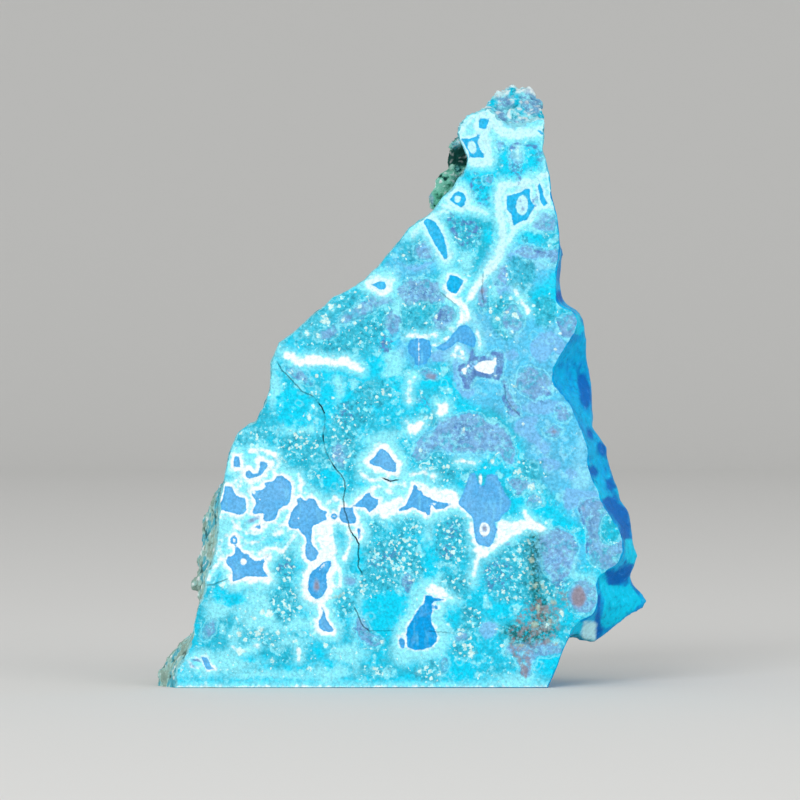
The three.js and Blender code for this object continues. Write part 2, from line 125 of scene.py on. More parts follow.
# Blue cores. Before each: its tint (0 periwinkle, 1 azure), its white rim and the pale halo beyond it.
CORES = """
0 0.45 0.9: 9.3,17.2 9.8,16.9 10.2,16.3 11,16.2 11.1,15.7 11.6,15.4 12.3,15.4 12.9,15.8 13.5,16.1 13,15.6
12.7,15 12.6,14.6 12.9,14 13.2,13.5 12.4,13.4 11.6,13.5 10.6,13.5 9.8,13.1 9,12.9 8.9,13.4 9,14 8.7,14.6
8.3,15 8.1,15.5 8.4,15.9 9,16 9.3,16.5;
0 0.35 0.8: 8,24.5 8.8,24.5 9,24 9.3,23.4 9.9,23.1 10.45,23.1 10.5,22.5 10.6,21.6 10.3,21.1 9.6,21 8.9,21.2
8.2,21.4 7.5,21.6 7.4,22.2 7.7,23 7.9,24;
0 0.4 0.9: 14.2,25.7 14.9,25.8 15.3,25.5 15.9,25 16.1,24.3 16,23.5 15.9,22.7 15.5,22.1 15,22 14.5,21.6
14.3,21 14,20.4 13.4,20.2 12.8,20.1 12.6,20.5 12.8,21 12.4,21.2 11.9,21.1 11.3,21.1 11.4,21.8 11.8,22.3
11.6,22.9 11.2,23.4 11.2,24 11.8,24 12.5,24.1 12.9,24.5 12.7,24.9 13.3,25 13.9,25.2;
0.1 0.6 0.9: 12.2,27.6 12.7,27.5 13.3,27.2 13,26.8 12.7,26.3 12.3,25.8 11.9,25.7 11,25.4 10.5,25.6 10.5,26.3
10.9,26.4 11.4,26 12,26.1 12.2,26.8; 0.1 0.45 0.9: 9.2,28.2 9.7,28.1 9.8,27.4 9.8,26.8 9,26.8 9,27.5;
0 0.3 0.6: 11.3,19.3 12.1,19.8 12.5,19.9 12.3,19.3;
0.1 0.4 1: 17.1,23.1 17.8,22.7 18.2,23.1 18.8,22.9 19.1,22.4 19.4,21.8 19.9,21.5 20.4,21.4 20.2,20.9
20.3,20.4 19.6,20.1 18.6,19.6 18.5,18.5 18.4,18 18.6,17.2 19.2,16.7 19.4,16.3 19,15.6 18.4,15.3 18,15.6
17.7,16.2 17.7,17 17.9,17.6 17.7,18.4 17.1,18.9 17,19.3 16.6,19.3 15.9,19.4 15.6,20.1 15.9,20.8 16,21.3
16.4,21.9 16.8,22.3 16.7,22.9;
0.2 0.35 0.8: 22.1,21.9 23.4,21.9 23.6,21.2 23.9,20.6 23.8,20 22.9,19.9 22.3,20.1 21.9,20.5 21.8,21.2;
0.3 0.3 0.7: 24,19.4 24.4,19.5 24.4,18.2 24.1,18;
0.2 0.4 0.9: 25,23.6 25.5,23.8 25.7,23.3 26.2,23 26.6,22.9 26.5,22.3 26.2,21.8 25.5,21.3 25.2,21.5 25,21.9
24.4,21.9 23.4,22.1 24,22.5 24.6,23;
0 0.55 1: 26.8,29.2 27.1,29.1 27.9,28.5 28.1,28 28.7,27.3 28.7,26.3 27.9,26.3 27.2,26.6 26.8,26.9 26,27
25.3,27.4 26,28 26.5,28.7;
0.3 0.4 0.9: 30.8,24.7 31.2,24.5 31.3,24 31.8,23.9 32,23.4 32.7,23.1 33.2,22.8 34.4,22.5 35.2,22.3 36,22.3
34.9,22.1 34.5,21.7 33.4,21.7 33,22.2 32.8,21.7 32.8,21 32.5,20.9 32.2,21.3 31.3,21.6 30.7,22 30,21.6
29,21.4 29,21.7 29.8,22.2 30.2,23 30.6,23.8;
0 -9 -9: 36.2,22.3 36.4,22.9 36.8,23.7 37.1,24.5 37.4,25.5 37.6,26 38.2,26.2 38.5,25.4 38.8,24.6 39.3,24.6
39.7,25.9 40.3,26 40.9,25.9 41.1,25.2 41.6,24.3 42,23.3 42.6,22.8 42.6,22.2 42.2,21.4 41.5,21 41.2,20.2
40.6,20.1 40.9,19.3 40.7,18.5 40.4,17.6 39.9,17 39.4,17.2 38.7,17.3 38.4,17.6 38.2,18.5 38.1,19.3 38,20.2
37.8,20.9 37.3,21.3 36.8,21.8;
0.6 0.75 0.9: 20.8,15.4 20.3,15.4 19.8,15.2 19.4,14.7 18.6,14.2 18.2,13.6 18.1,12.6 18.1,11.8 18.5,11.1
19.1,10.7 19.7,10.9 20.1,11.5 20.4,12.3 20.3,13.2 20.3,13.8 20.6,14.3 20.9,14.9;
0.1 0.5 0.7: 19.6,10 20.05,9.3 20.3,8.4 20.6,7.8 21.1,7.2 21.1,6.8 20.6,6.7 19.9,6.9 19.5,7.2 19.3,8
19.7,8.5 19.9,9.2; 0.1 0.15 0.7: 5.2,3.8 5.9,3.7 6.3,3.2 6.5,2.6 6.9,2.3 6,2.2 5.8,2.4 5.6,2.8 5.5,3.3;
1 0.14 1.5: 32.2,11.2 32.9,11.2 33.3,10.9 34.6,10.7 34,10.5 33.3,10.5 33,10.1 33.1,9.4 32.9,8.6 33,7.8
33.4,7 33.7,6.3 33.5,5.6 33,5 32,4.6 30.9,4.6 30.1,4.9 30,5.8 29.9,6.5 30,7.3 30.6,8.2 31,8.9 31.6,9.8
32.1,10.3; 0.8 0.6 0.8: 38.8,70 39.3,70.3 40.2,70.2 39.9,69.5 39.7,68.8 38.8,69.1;
0.8 0.45 0.8: 36.6,67.7 37.6,67.7 38.4,67.9 38.9,68.6 39,68.2 38.7,67.2 39,66.3 39.5,65.7 39.4,65.3
38.4,65.3 37.7,65.3 37.5,66.1 37.1,66.9;
0.8 0.5 0.9: 35.2,60 35.7,60.7 36.3,61.1 37,60.8 37.3,60.1 37.1,59.4 36.7,59 36,59.4 35.6,59.7;
0.9 0.5 0.8: 42.3,60.5 43.4,60.8 44,61 44.5,61.4 45.1,61.4 45.1,60.3 45.3,59.7 45.7,59.2 45.2,58.4 44.7,57.5
43.8,57.2 43.1,56.7 42.9,57.4 42.8,58.2 42.2,58.8 42.2,59.6;
0.9 0.35 0.7: 46,61.8 46.3,62.2 46.6,61.4 46.8,60.4 47.2,59.5 46.7,59.2 46.3,60 46.2,61;
0.8 0.4 0.8: 32,57.4 32.6,57.7 33.4,57.3 34,56.4 34.5,55.3 34.9,54 35,52.8 34.7,52.3 34.3,53 33.7,54 33.1,55
32.6,56 32.2,56.8; 1 0.3 0.9: 35.3,50.6 36.2,50.4 37,49.9 36.5,49 36,48.3 35.3,48.4 34.8,49 34.9,49.8;
0.4 0.7 0.8: 25.6,49.4 26.6,49.8 27.3,49.8 27.45,49.2 27.3,48.7 26.5,48.9;
0.5 -9 0.3: 30.4,42.5 31,42.75 32,42.7 32.8,42.4 33,41.6 32.9,40.6 32.4,39.6 31.6,39.3 31,39.4 30.9,40.2
30.2,40.9 30.1,41.8;
0.2 -9 -9: 36.4,44.3 37.4,44.4 38,43.6 38.5,42.5 38.1,41.5 37.6,41.8 36.8,42.1 36.1,42.3 35.4,41.6 34.6,41.2
33.6,41.3 33.3,41.5 34.1,41.9 34.8,42.3 35.4,43 35.9,43.6; 0.2 0.3 0.6: 9.1,17.9 0.45,0.55; 0.6 0.15 0.6:
33.5,9.75 0.25; 0.5 0.1 0.5: 29.4,5.4 0.35,0.7,10; 0.3 0.3 0.5: 21.2,20.8 0.4; 0.7 -9 -9: 46.5,68.5
0.5,0.2,-35
"""
# White threads and dark lilac seams: lines, each after its half width.
THREADS = """
0.22: 6,13.2 6.6,14.4 7.3,15.2 7.8,16.2 7.4,17; 0.25: 9.6,12.9 11,13 12.4,12.9 13.7,13.1; 0.25: 12.2,16.3
13.2,16.8 14.2,17 14.9,16.6; 0.35: 35.2,47.9 36,47.4 36.8,47 37.3,46.2 37.5,45.1; 0.25: 36.5,46.9 36.7,45.8
36.6,44.8 36,44 35.4,43.8; 0.2: 30.9,38 30.3,37.2 30.2,36 30.3,35; 0.1: 33.2,41.8 34.2,42.2 35,42.9; 0.12:
38.6,43.8 38.8,42.6 38.9,41.4; 0.2: 30.2,43 32,43 33.6,43.2; 0.2: 43.3,48.7 44,47.4 44.7,46; 0.07: 30.3,7.2
31.2,6.9 32.5,6.9; 0.13: 24.1,50.1 25.4,50.4 27.6,50.5 28.4,50; 0.3: 30.7,55.6 32,57.4 33.6,58.2 34.6,58.6;
0.22: 24.6,25.9 25.8,25.2 27,25.4 28.2,24.6 29.6,24.8; 0.2: 25.8,24.2 27,24.5 28,23.7; 0.16: 30.5,25.7
32,26.2 33.4,25.6; 0.14: 36.1,27.5 37.2,27.6 38.1,27.4; 0.12: 17.1,4.7 17,3.4; 0.14: 11,4.6 12,5.2; 0.1:
35.3,40.4 37,40.4 36.3,41.8 35.3,40.4; 0.25: 11.2,28.9 12.6,28.9 14,28.4 14.5,27.2 13.9,26.4; 0.18: 8.9,24.9
9.8,25.6 10.1,24.8 9.4,24.2; 0.2: 16.8,25.9 17.3,24.9 17,24 17.6,23.6; 0.16: 20.4,22.3 21.2,23 22,22.8;
0.18: 23,19.2 23.2,18 23,16.8 22.4,15.6; 0.14: 13.6,18.6 14.8,18.9 15,19.7 14.3,20;
0.22: 36.3,22.2 37.2,21.3 37.8,20.5 37.9,19.2 38,18.2 38.4,17.3 39.4,16.9 40.3,17.1; 0.16: 21,11.8 21.9,12.4
22,13.8 21.6,15; 0.12: 15.2,16.9 15.9,17.8 16.6,18.6; 0.25: 38.7,16.4 38.3,15.2 38.1,13.8; 0.35: 37.4,47.4
38.6,49.4 39.8,51; 0.5: 39.8,51 41,52.6 41.6,54.4 41.8,56.4 41.4,58.4 41.2,60.4 41.7,61.6; 0.3: 43.2,56.4
42.7,55.4 42,54.2; 0.4: 41.7,61.6 43,61.9 44.4,62.3 45.8,62.3 46.6,62.9 47.6,63.4; 0.25: 44.4,57 45.4,57.8
46.2,58.9 47.4,59.2 48.2,58.9; 0.35: 47.4,59.6 47.7,61 47.7,63 47.3,65; 0.35: 36.5,68.2 37.2,69.6 38.6,70.8
40.2,71.4; 0.5: 39.4,69.2 39.9,67.6 40,66 40,64.7 38.6,64.6 37.4,65;
0.6: 40.3,71.2 40.9,69.8 41.6,68.6 43,68.3 45,68.4 46.8,68.8 47.6,69.6;
0.12: 7.2,20.7 9,20.9 11,21 12.9,20.7 12.7,19.4 12.2,18.8 10.6,18.8 9.6,19.4 8.6,20.4; 0.1: 9.8,20 9.4,21.6
9.6,23; 0.12: 9.4,18.6 10.6,17.8 12,17.6 12.9,18.2; 0.1: 6.6,17.4 8,18.2 9.2,19.6; 0.12: 6,15.9 7.2,16.6
8.6,16.9; 0.12: 13,19.6 13.8,20.4 14.6,19.8 14,18.8 13.2,18.6; 0.14: 9.2,4.9 9.9,4.4 10.8,4.6;
0.12: 16.9,4.8 17.1,4.2; 0.3: 34.4,59.3 35.6,58.9 37.4,59 38.4,58.8 39.6,58.4; 0.2: 43.6,65.4 43.7,66.6;
0.06: 1.6,0.1 12,0.08 30,0.1 47.5,0.08; 0.07: 3.6,3.5 4.4,3.8 5.2,3.5 5.6,2.8 5,2.4 4.2,2.5 3.6,3.5
"""
SEAMS = """
0.3: 38.1,40.1 39,40.2 39.9,40.4 40.7,40.8 41.4,40.6 41.6,39.8 41.3,39 41.1,38.2 40.9,37.6 40.1,37.9 39,38.3
38.2,38.4 37.8,37.8 37.6,37.1 37.4,36.6 37.2,37.2 36.9,37.8;
0.2: 36.9,37.8 36.4,38.5 36.5,39.2 37.2,39.4 37.8,40 38,40.6 37.9,41.2; 0.18: 41.9,37 41.8,36.2 41.7,35.4
42,34.6 42.5,34.1; 0.12: 42.5,34.1 43,33.7 43.6,33.4 43.8,32.8; 0.1: 45.8,59.2 45.4,60.2 45.7,61.2 46,60.4
45.9,59.4; 0.12: 51.7,16.4 51.8,18 51.6,19.4 51.1,20.8 50.8,21.8; 0.14: 45.8,35.9 46.6,35.7 47.2,35.8;
0.08: 3.7,3.3 4.9,3.4 5.5,2.8 4.6,2.4 4,2.8 3.7,3.3;
0.1: 18.4,13.6 18.5,12.4 18.7,11.4 19.2,11 19.8,11.5 20,12.6 20,13.6; 0.1: 48.4,44.8 48.6,43.8 49,43; 0.12:
34.1,46.6 34,45.4 33.6,44.4; 0.14: 35.9,56.9 35.4,56.2 36.2,55.6 36,54.8 36.8,54.4; 0.14: 36.6,57.6 37.4,57
38.2,57.2 38.6,56.4 38,55.8; 0.14: 37,56.2 37.6,55.4 38.4,55 38.6,54.2; 0.14: 34.4,58.8 35.2,58.6 35.6,58
35.2,57.4; 0.12: 43.4,64.8 43,64.2 43.4,63.4 43.9,62.8 43.7,62; 0.12: 42.6,66.9 43.6,67 44.6,66.8 45.4,66.9;
0.1: 38.2,63.4 38,62.2 37.8,61.2; 0.1: 38.4,60.4 39.2,60.1 40,60.2; 0.1: 38.8,59.6 39.6,59.3 40.4,59.5; 0.1:
45.4,53.6 46.6,53.4 47.8,53 48.8,52.4; 0.12: 35.8,31.8 36.4,31 37.2,31.2 37.6,30.4; 0.12: 27.4,42.8 27,42
27.6,41.2; 0.1: 32.2,27.4 32.6,26.6; 0.2: 42.6,66.4 43.2,66.6; 0.18: 45.7,66.6 46.1,66.8
"""
# Cracks: lines, each after its strength.
CRACKS = """
0.6: 14.5,39.3 14.7,38.9 15.2,38.4 15.8,37.8 16.2,37.3 16.7,36.8 17.2,36.2 17.8,35.9 18.6,35.6;
0.3: 18.6,35.6 19.3,34.7; 1: 19.3,34.7 19.7,34.1 20,33.5; 0.35: 20,33.5 20.1,32.3 19.8,30.9; 1: 19.8,30.9
19.8,30.5 19.9,30; 0.4: 19.9,30 20.2,28.6 20.5,28.1 20.9,27.3; 1: 20.9,27.3 21.3,26.7;
0.7: 21.3,26.7 21.9,26.1 22.3,25.5 22.5,25 22.5,24.3 22.4,23.5 22.3,22.9 22.4,21.7 22.7,20.9 23.2,18.9; 1:
23.2,18.9 23.8,18.2 24.2,17.4; 0.8: 24.2,17.4 24.1,16.3 24.2,15.6 24.1,14.8 24.4,14.2; 0.7: 23.9,9.3
24.3,8.4 24.6,7.6 25.2,7.1; 0.4: 26,6.9 28,6.9; 0.4: 33,6.8 34.5,6.7; 0.35: 41.9,36.5 42,35.3 42.6,34.4
43.3,33.6; 0.5: 6,12.4 6.9,12.6 7.9,13; 1: 27.5,25.3 28,25.1 28.5,25.2; 0.4: 35.6,47.2 34.4,48.2; 0.35:
39.3,50.3 39.1,48.6 39.3,47.4
"""
# A clast that is lilac and bruised alike.
BRUISED_CLAST = """
38.2,40.4 39,40.2 40,40.6 40.8,41.1 41.5,41 41.9,40.2 41.6,39 41.3,38 41,37.4 40,37.9 39,38.1 38.1,37.9
37.8,37 37.5,36.4 37,36.6 36.8,37.6 36.3,38.6 36.4,39.1 37.2,39.4 37.8,40.1;
"""
# Zones on the sawn face.
FACE_ZONES = {
    # Pale inlays that lie on the blue cores.
    "inlay": """
10.3,15.3 0.42; 11.5,23.8 0.22,0.3; 33.2,22.3 0.5,0.15,20; 19.9,14.8 0.6,0.13,50; 9.1,17.9 0.18,0.25;
39.4,19.2 0.62,0.85; 36.2,60.1 0.4,0.42; 44.1,59.3 0.72,1.25,-6; 38,66.6 0.5,0.8,12; 31.5,41.2 0.09,1.6;
38.9,25.3 0.2,0.7; 21.2,20.8 0.16; 12.2,22.9 0.14; 16.9,20.6 0.13; 40.7,40.3 0.2,0.1,-20;
38.1,39.2 38.6,39.6 39.2,39.9 40.2,40 40.8,40.1 40.9,39.6 40.6,39 40.5,38.5 40,38.3 39.2,38.5 38.4,38.8;
36.6,38.9 37.1,39.1 37.5,39.6 37.7,39.4 37.3,38.9 37.1,38.2 36.8,38.3
""",
    # Dull purple-brown centres.
    "pupil": """
19.1,12.4 0.42,0.8; 39.4,19.2 0.3,0.5; 43.9,59.9 0.2,0.36; 44.25,58.9 0.2,0.36; 11.4,20.4 0.85,0.3,22;
33,38 0.7,0.35,-10; 47.8,31.2 0.4,0.3; 45.8,60.2 0.16,0.34; 51.3,21.7 0.3,0.4; 39.2,48.6 0.35,0.5;
42.3,17.5 0.3,0.25; 28,25.2 0.5,0.15,15; 50.7,11 0.95,1.4
""",
    # Iron-stained centres, redder than the others.
    "stain": """
50.7,11 0.95,1.4; 19.1,12.4 0.4,0.7
""",
    # White patches.
    "white": """
15,41.1 16.2,40.9 16.6,40.3 17.8,40.6 19.3,40.6 21,40.2 22.6,40.5 23.8,39.9 24.7,39 24.6,38.4 23.6,38.7
22.5,39.3 21,39.4 19.5,39.5 18,39.3 16.8,39.3 15.9,39.9 15.1,40.4;
30,32.3 30.9,32.2 31.8,32.7 32.3,32.3 31.8,31.6 31,31 30.2,30.9 30,31.5;
33.4,34.8 34.2,34.6 34.9,34.9 35.2,34.2 34.8,33.5 34.2,33.1 33.7,33.5 33.9,34.1;
31,25.2 31.8,24.9 32.6,24.4 33.6,24.1 34.6,24 35.6,24 36.2,23.6 36.4,22.9 36.2,22.4 35.4,22.5 34.2,22.7
33,23.2 32,23.9;
26.5,22.9 27.2,22.3 28.2,22.9 29.2,23.4 29.8,23 29.3,22.1 28.7,21.4 28,20.6 27.1,20.4 26.4,21.2;
40.9,20.2 42,20.2 43.5,20.2 44.3,20.4 44.1,21.5 44.4,21.6 44.8,20.9 45.3,20.5 46,20 46.9,19.3 46.5,19
44.6,19.3 43.6,18.7 42.8,18.2 41.9,17.8 41.2,17.4 40.5,16.6 39.6,15.8 38.6,15.9 37.9,16.8 38.4,17.3
39.9,16.9 40.5,17.6 40.9,18.6;
19.3,18.4 20,18.3 20.9,18.5 21.5,17.6 21.3,16.4 20.9,15.6 20,15.6 19.5,16.2 19.7,16.9 19.2,17.5;
19,20 19.8,20.4 20.8,20.3 21.2,19.4 21,18.4 19.8,18.3 19.1,18.7;
32,11.5 32.5,12.3 33.1,12.7 33.9,12.1 34.9,11.3 35.5,10.8 34.4,10.9 33.4,11.2
""",
    # White dots.
    "dot": """
9.5,8.3 0.35; 13.4,8.9 0.5; 11.6,8.4 0.3; 12.6,9.2 0.3; 9.9,4.3 0.5; 18.3,2.4 0.3; 26,2.4 0.3; 27.3,2 0.25;
31.6,2.1 0.25; 33.7,1.6 0.25; 37.7,4.1 0.35; 43.5,26.3 0.35; 45,24.5 0.4; 45.9,23.3 0.25; 46.3,22.5 0.25;
38.8,27.7 0.25; 40.4,27.6 0.25; 42.6,47.7 0.25; 43.1,45.6 0.28; 42.6,43.7 0.3; 20.9,46.6 0.4; 22.2,45 0.35;
19.9,44.9 0.4; 17.8,43.4 0.4; 19.3,42.8 0.25; 26.9,46.6 0.3; 24.1,46.8 0.25; 18.9,36 0.3; 18.6,34.2 0.35;
18.2,33.1 0.3; 15.8,38.4 0.25; 50.6,11.9 0.3; 46.9,7.5 0.35; 48.6,9 0.25; 12.3,7.1 0.25; 7.8,12.4 0.3;
17.2,17.8 0.3; 14.3,17.6 0.25; 8.6,6.2 0.22; 9.8,6.6 0.25; 10.9,6.9 0.22; 12.1,6.5 0.35; 13.1,6.5 0.22;
14.4,6.7 0.25; 15.4,7 0.22; 16.6,7.2 0.25; 18.4,6.2 0.25; 16.5,5.7 0.25; 20.2,5.1 0.25; 13.8,3.4 0.28;
36.8,31.2 0.3; 42.9,36.8 0.2; 44.2,54.9 0.25; 40.9,45.1 0.3
""",
    # Pale cement.
    "pale": """
11.8,9.4 2.4; 6.9,9.6 1.2,1.4; 13,1.5 6,0.5; 16.4,7.8 2.6,0.8; 12.4,12 1.2,0.9; 43,0.8 3.2,0.9;
40,7.4 1.1,0.6; 13,8 2,1.5; 34.8,10.2 0.9,0.8; 37.4,12.9 1,0.8; 29.7,3.9 1.5,1.2; 27.6,24.6 2.4,1.6;
26.6,30.3 2.2,0.8,8;
41,51 40.4,53 41,55 41,57 40.8,59 41.4,61 42.2,62.4 43.6,62.6 42,60 41.9,58 42.8,56.4 43,54.6 42,53 42.2,51
41.6,48.6 40.8,47 40,48.6;
36.4,68.6 37.2,70.4 38.6,71.4 40.4,71.6 41.2,70 43,68.6 45,69.4 47.6,69.6 47.2,67.4 45,67.4 42.6,67.4
41,67.6 40.8,65.6 40,64.2 38.4,64.6 38.6,66 39.8,66 39.6,68.4 38.4,68.2; 38.2,59 1.6,0.8,-30;
47.2,62.6 0.8,3.2,6; 45.8,63 1.2,0.9; 41.6,62.2 1,0.7; 46.4,51.8 1.6,1,-15; 37.1,52.4 0.9,1.4;
30.4,56.2 1.8,0.9,45; 28.4,39.5 1.5,2; 26,49.6 2.6,1.1,20; 20,45.6 2.6,0.8,38; 7.4,9.6 1.6,1.2;
8.2,3.1 3.4,1.4; 22.5,4.2 2.2,1.2; 20.8,1.9 2.4,1.3; 7.6,19.3 1.4,1.6; 14.2,41.6 0.6,1.4; 14,37 0.6,2.4;
16.8,31.5 2.2,0.9; 11.2,30.2 1.2,1.3; 29,46 1,2.4; 47,68 1,3.2; 45.6,56.4 1.6,0.6; 9.4,6.3 1;
24.3,12 0.35,3; 23.7,4.4 0.3,3.6,3; 32.6,18.6 0.6,1.8; 33,13.3 1.2,0.8; 35.6,20.9 1.4,0.6;
21.6,37.2 0.7,1.5; 31.5,46 1.2,0.6; 50.5,13.6 1.6,0.6,-10; 16.2,10.6 0.6,0.4; 15.4,5.6 2.4,0.6;
52.3,11.6 0.5,1.8; 51,25.6 1.2,1.6; 51.2,29.6 0.5,2.4,-8
""",
    # Vivid cyan patches.
    "vivid": """
42.8,38.2 43.4,38.4 43.8,38.9 44.6,39.3 45,40.2 45,41 44.4,41.4 44.2,40.4 43.6,39.6 43,39;
44.4,42.4 45.6,42.6 46.2,43.4 46.6,44.6 45.6,45 44.6,44.6 44.2,43.4; 36.5,25.2 0.4,1.7,5; 39.3,26.7 1.3,0.8;
45.6,21.7 2.4,1.1,-20; 44.8,43.9 0.7,1.6; 34,37.2 3.4,0.9; 47.2,49.4 1.8,1.9; 16.5,34 2.4; 47.2,2.9 1.3,1.5;
41,9.2 1.6,1; 29.2,10.2 0.8,1.8; 32.8,15.6 1,2.2; 36.4,1.8 1.8,1.4;
24.8,10.8 26.6,11.4 28.6,11.8 29.8,11 29.6,9 28.8,7 27.6,5.8 26,6.6 25.6,8 24.6,9; 24.7,25 0.7,1;
20.5,25.5 1,1.5; 11.7,29 1.3,1; 31.7,34.4 0.8,0.9; 37.5,34 1; 22.9,34.8 0.6,0.9; 7.4,11.3 1.1,1;
9.3,10.5 1.3,0.8; 10.4,3.7 0.9,0.5; 19.5,4.5 0.9,1; 15.7,2.6 0.25,0.3; 17.4,2.4 0.45; 9.5,0.7 5.6,0.3;
31,0.8 8.5,0.7; 20,38.5 3.6,0.45; 25.8,37.3 1.8,0.9,-10; 20.5,36 0.7,1; 26.2,39.6 1,1.1;
25.4,48.3 1.9,0.3,-8; 20.7,47 0.6,0.35,20; 19.2,46.1 0.6,0.35,30; 31.4,45.4 1.1,1.4; 29,37.1 1.4,0.9;
43.1,64 1.4,2.4; 45.9,65 1,1.6;
37.2,63.2 38.4,64.2 40,63.6 41.2,63.2 40.6,61.8 41,60 41,58.8 39.8,58.8 38.6,59.6 37.8,60.8 37.6,62;
40.4,55.5 1.1,1; 45,55.1 2,0.9; 37.4,50.4 1.2,0.4,-30; 37.2,48 0.9,1; 36.4,58 1.1,0.7; 42,66 1,0.8;
37.9,70.4 0.8,0.7; 46.9,70.8 0.8,0.7; 46,47.5 0.7,1.6; 46.1,41.3 0.5,0.35; 28.4,43.5 0.8,1.8;
13.6,17.8 1.6,0.7; 11.6,18.3 1.6,0.5; 22,26.9 0.9; 35.5,8.6 0.8,1.4; 20.6,2.8 0.9,0.8; 24.2,15.7 0.5,2.4;
17.2,14.6 0.6,1.8; 49.6,19.9 1.3,1; 51.2,17.6 0.6,2.6,6; 50.8,8.6 0.9,0.5,20; 43.2,34.2 0.4,0.5;
40.2,36.6 1.6,1; 43.2,28.2 0.5,1.4
""",
    # Granular grey-teal clasts.
    "clast": """
34.2,58.9 35.4,58.8 36.6,57.6 38,57.4 39,56.6 39.2,55.4 38.4,53.8 37,53.6 36,54.4 35,55.6 34.8,57 33.6,58;
25,15 25.4,16.4 26.6,17.4 28,18.4 29.6,18.8 30.8,18.2 31.4,16.8 31.4,15.2 31.8,14.2 31,13 30.2,12.2
28.8,12.2 27.4,11.9 26,11.4 24.6,11.2 22.8,11.2 21.8,11.9 22.4,12.6 24,12.4 24.8,13.4;
33.8,20.2 34.4,21 35.8,21.3 37,20.9 37.4,19.6 37.3,18 37,16.6 36.4,15.4 35.2,15.2 34,15.8 33.4,17 33.6,18.6;
39.4,12 39.2,13.8 40,15.6 41.2,16.8 42.8,17.6 44.4,17.8 45.2,16.6 45.4,14.6 45,12.6 44.6,11.2 43.4,10.4
42,10.4 40.6,10.8; 37,9.6 38.6,9.4 38.8,8 38,7 37.6,5.6 38.2,4.2 37.4,3.4 36,3.8 35.4,5.2 35.6,6.6 36.4,7.8;
31.2,27 32.4,26.2 33,25.4 34,24.8 35.4,24.9 36,25.6 35.8,26.8 35.4,27.8 34,28.6 32.4,28.4 31,28.2;
21.2,26.8 22.6,26.4 23.4,27 23.6,28.4 24,30 24.2,31.6 25.4,32.4 26,33.6 25,34.8 23.6,35 22,34.4 21,33
20.6,31.6 20.9,29.6 20.8,28; 30.4,19.8 1.8,1.1; 35.8,12.6 1.6,1.4; 15.2,14.3 1.3,1.8; 15.3,10.3 1.9,2.3;
22.4,9.8 1.3,1.1; 22.6,44.6 5.8,3.6,20; 11.2,30.4 1.8,1; 43.8,50.9 1.9,2.3; 31.4,53.6 2.6,1.9,20;
12,6 2.6,1; 22,42 4.6,0.9; 42.3,45.6 2,2.8; 47,12.3 1.6; 26.4,20.3 1.4,1; 14.4,27.4 1.3,1; 32.6,1.9 1.6,1.4;
44.9,26.4 1.9,1.3; 32.7,32.6 1.6,1; 26.6,1.9 1.3,0.7; 31.2,45 2.2,3.2; 26,36 2.2,1.6; 17,29.4 2.4,1.6;
46.8,46 1.3,2
""",
    # Greyer clasts at the right.
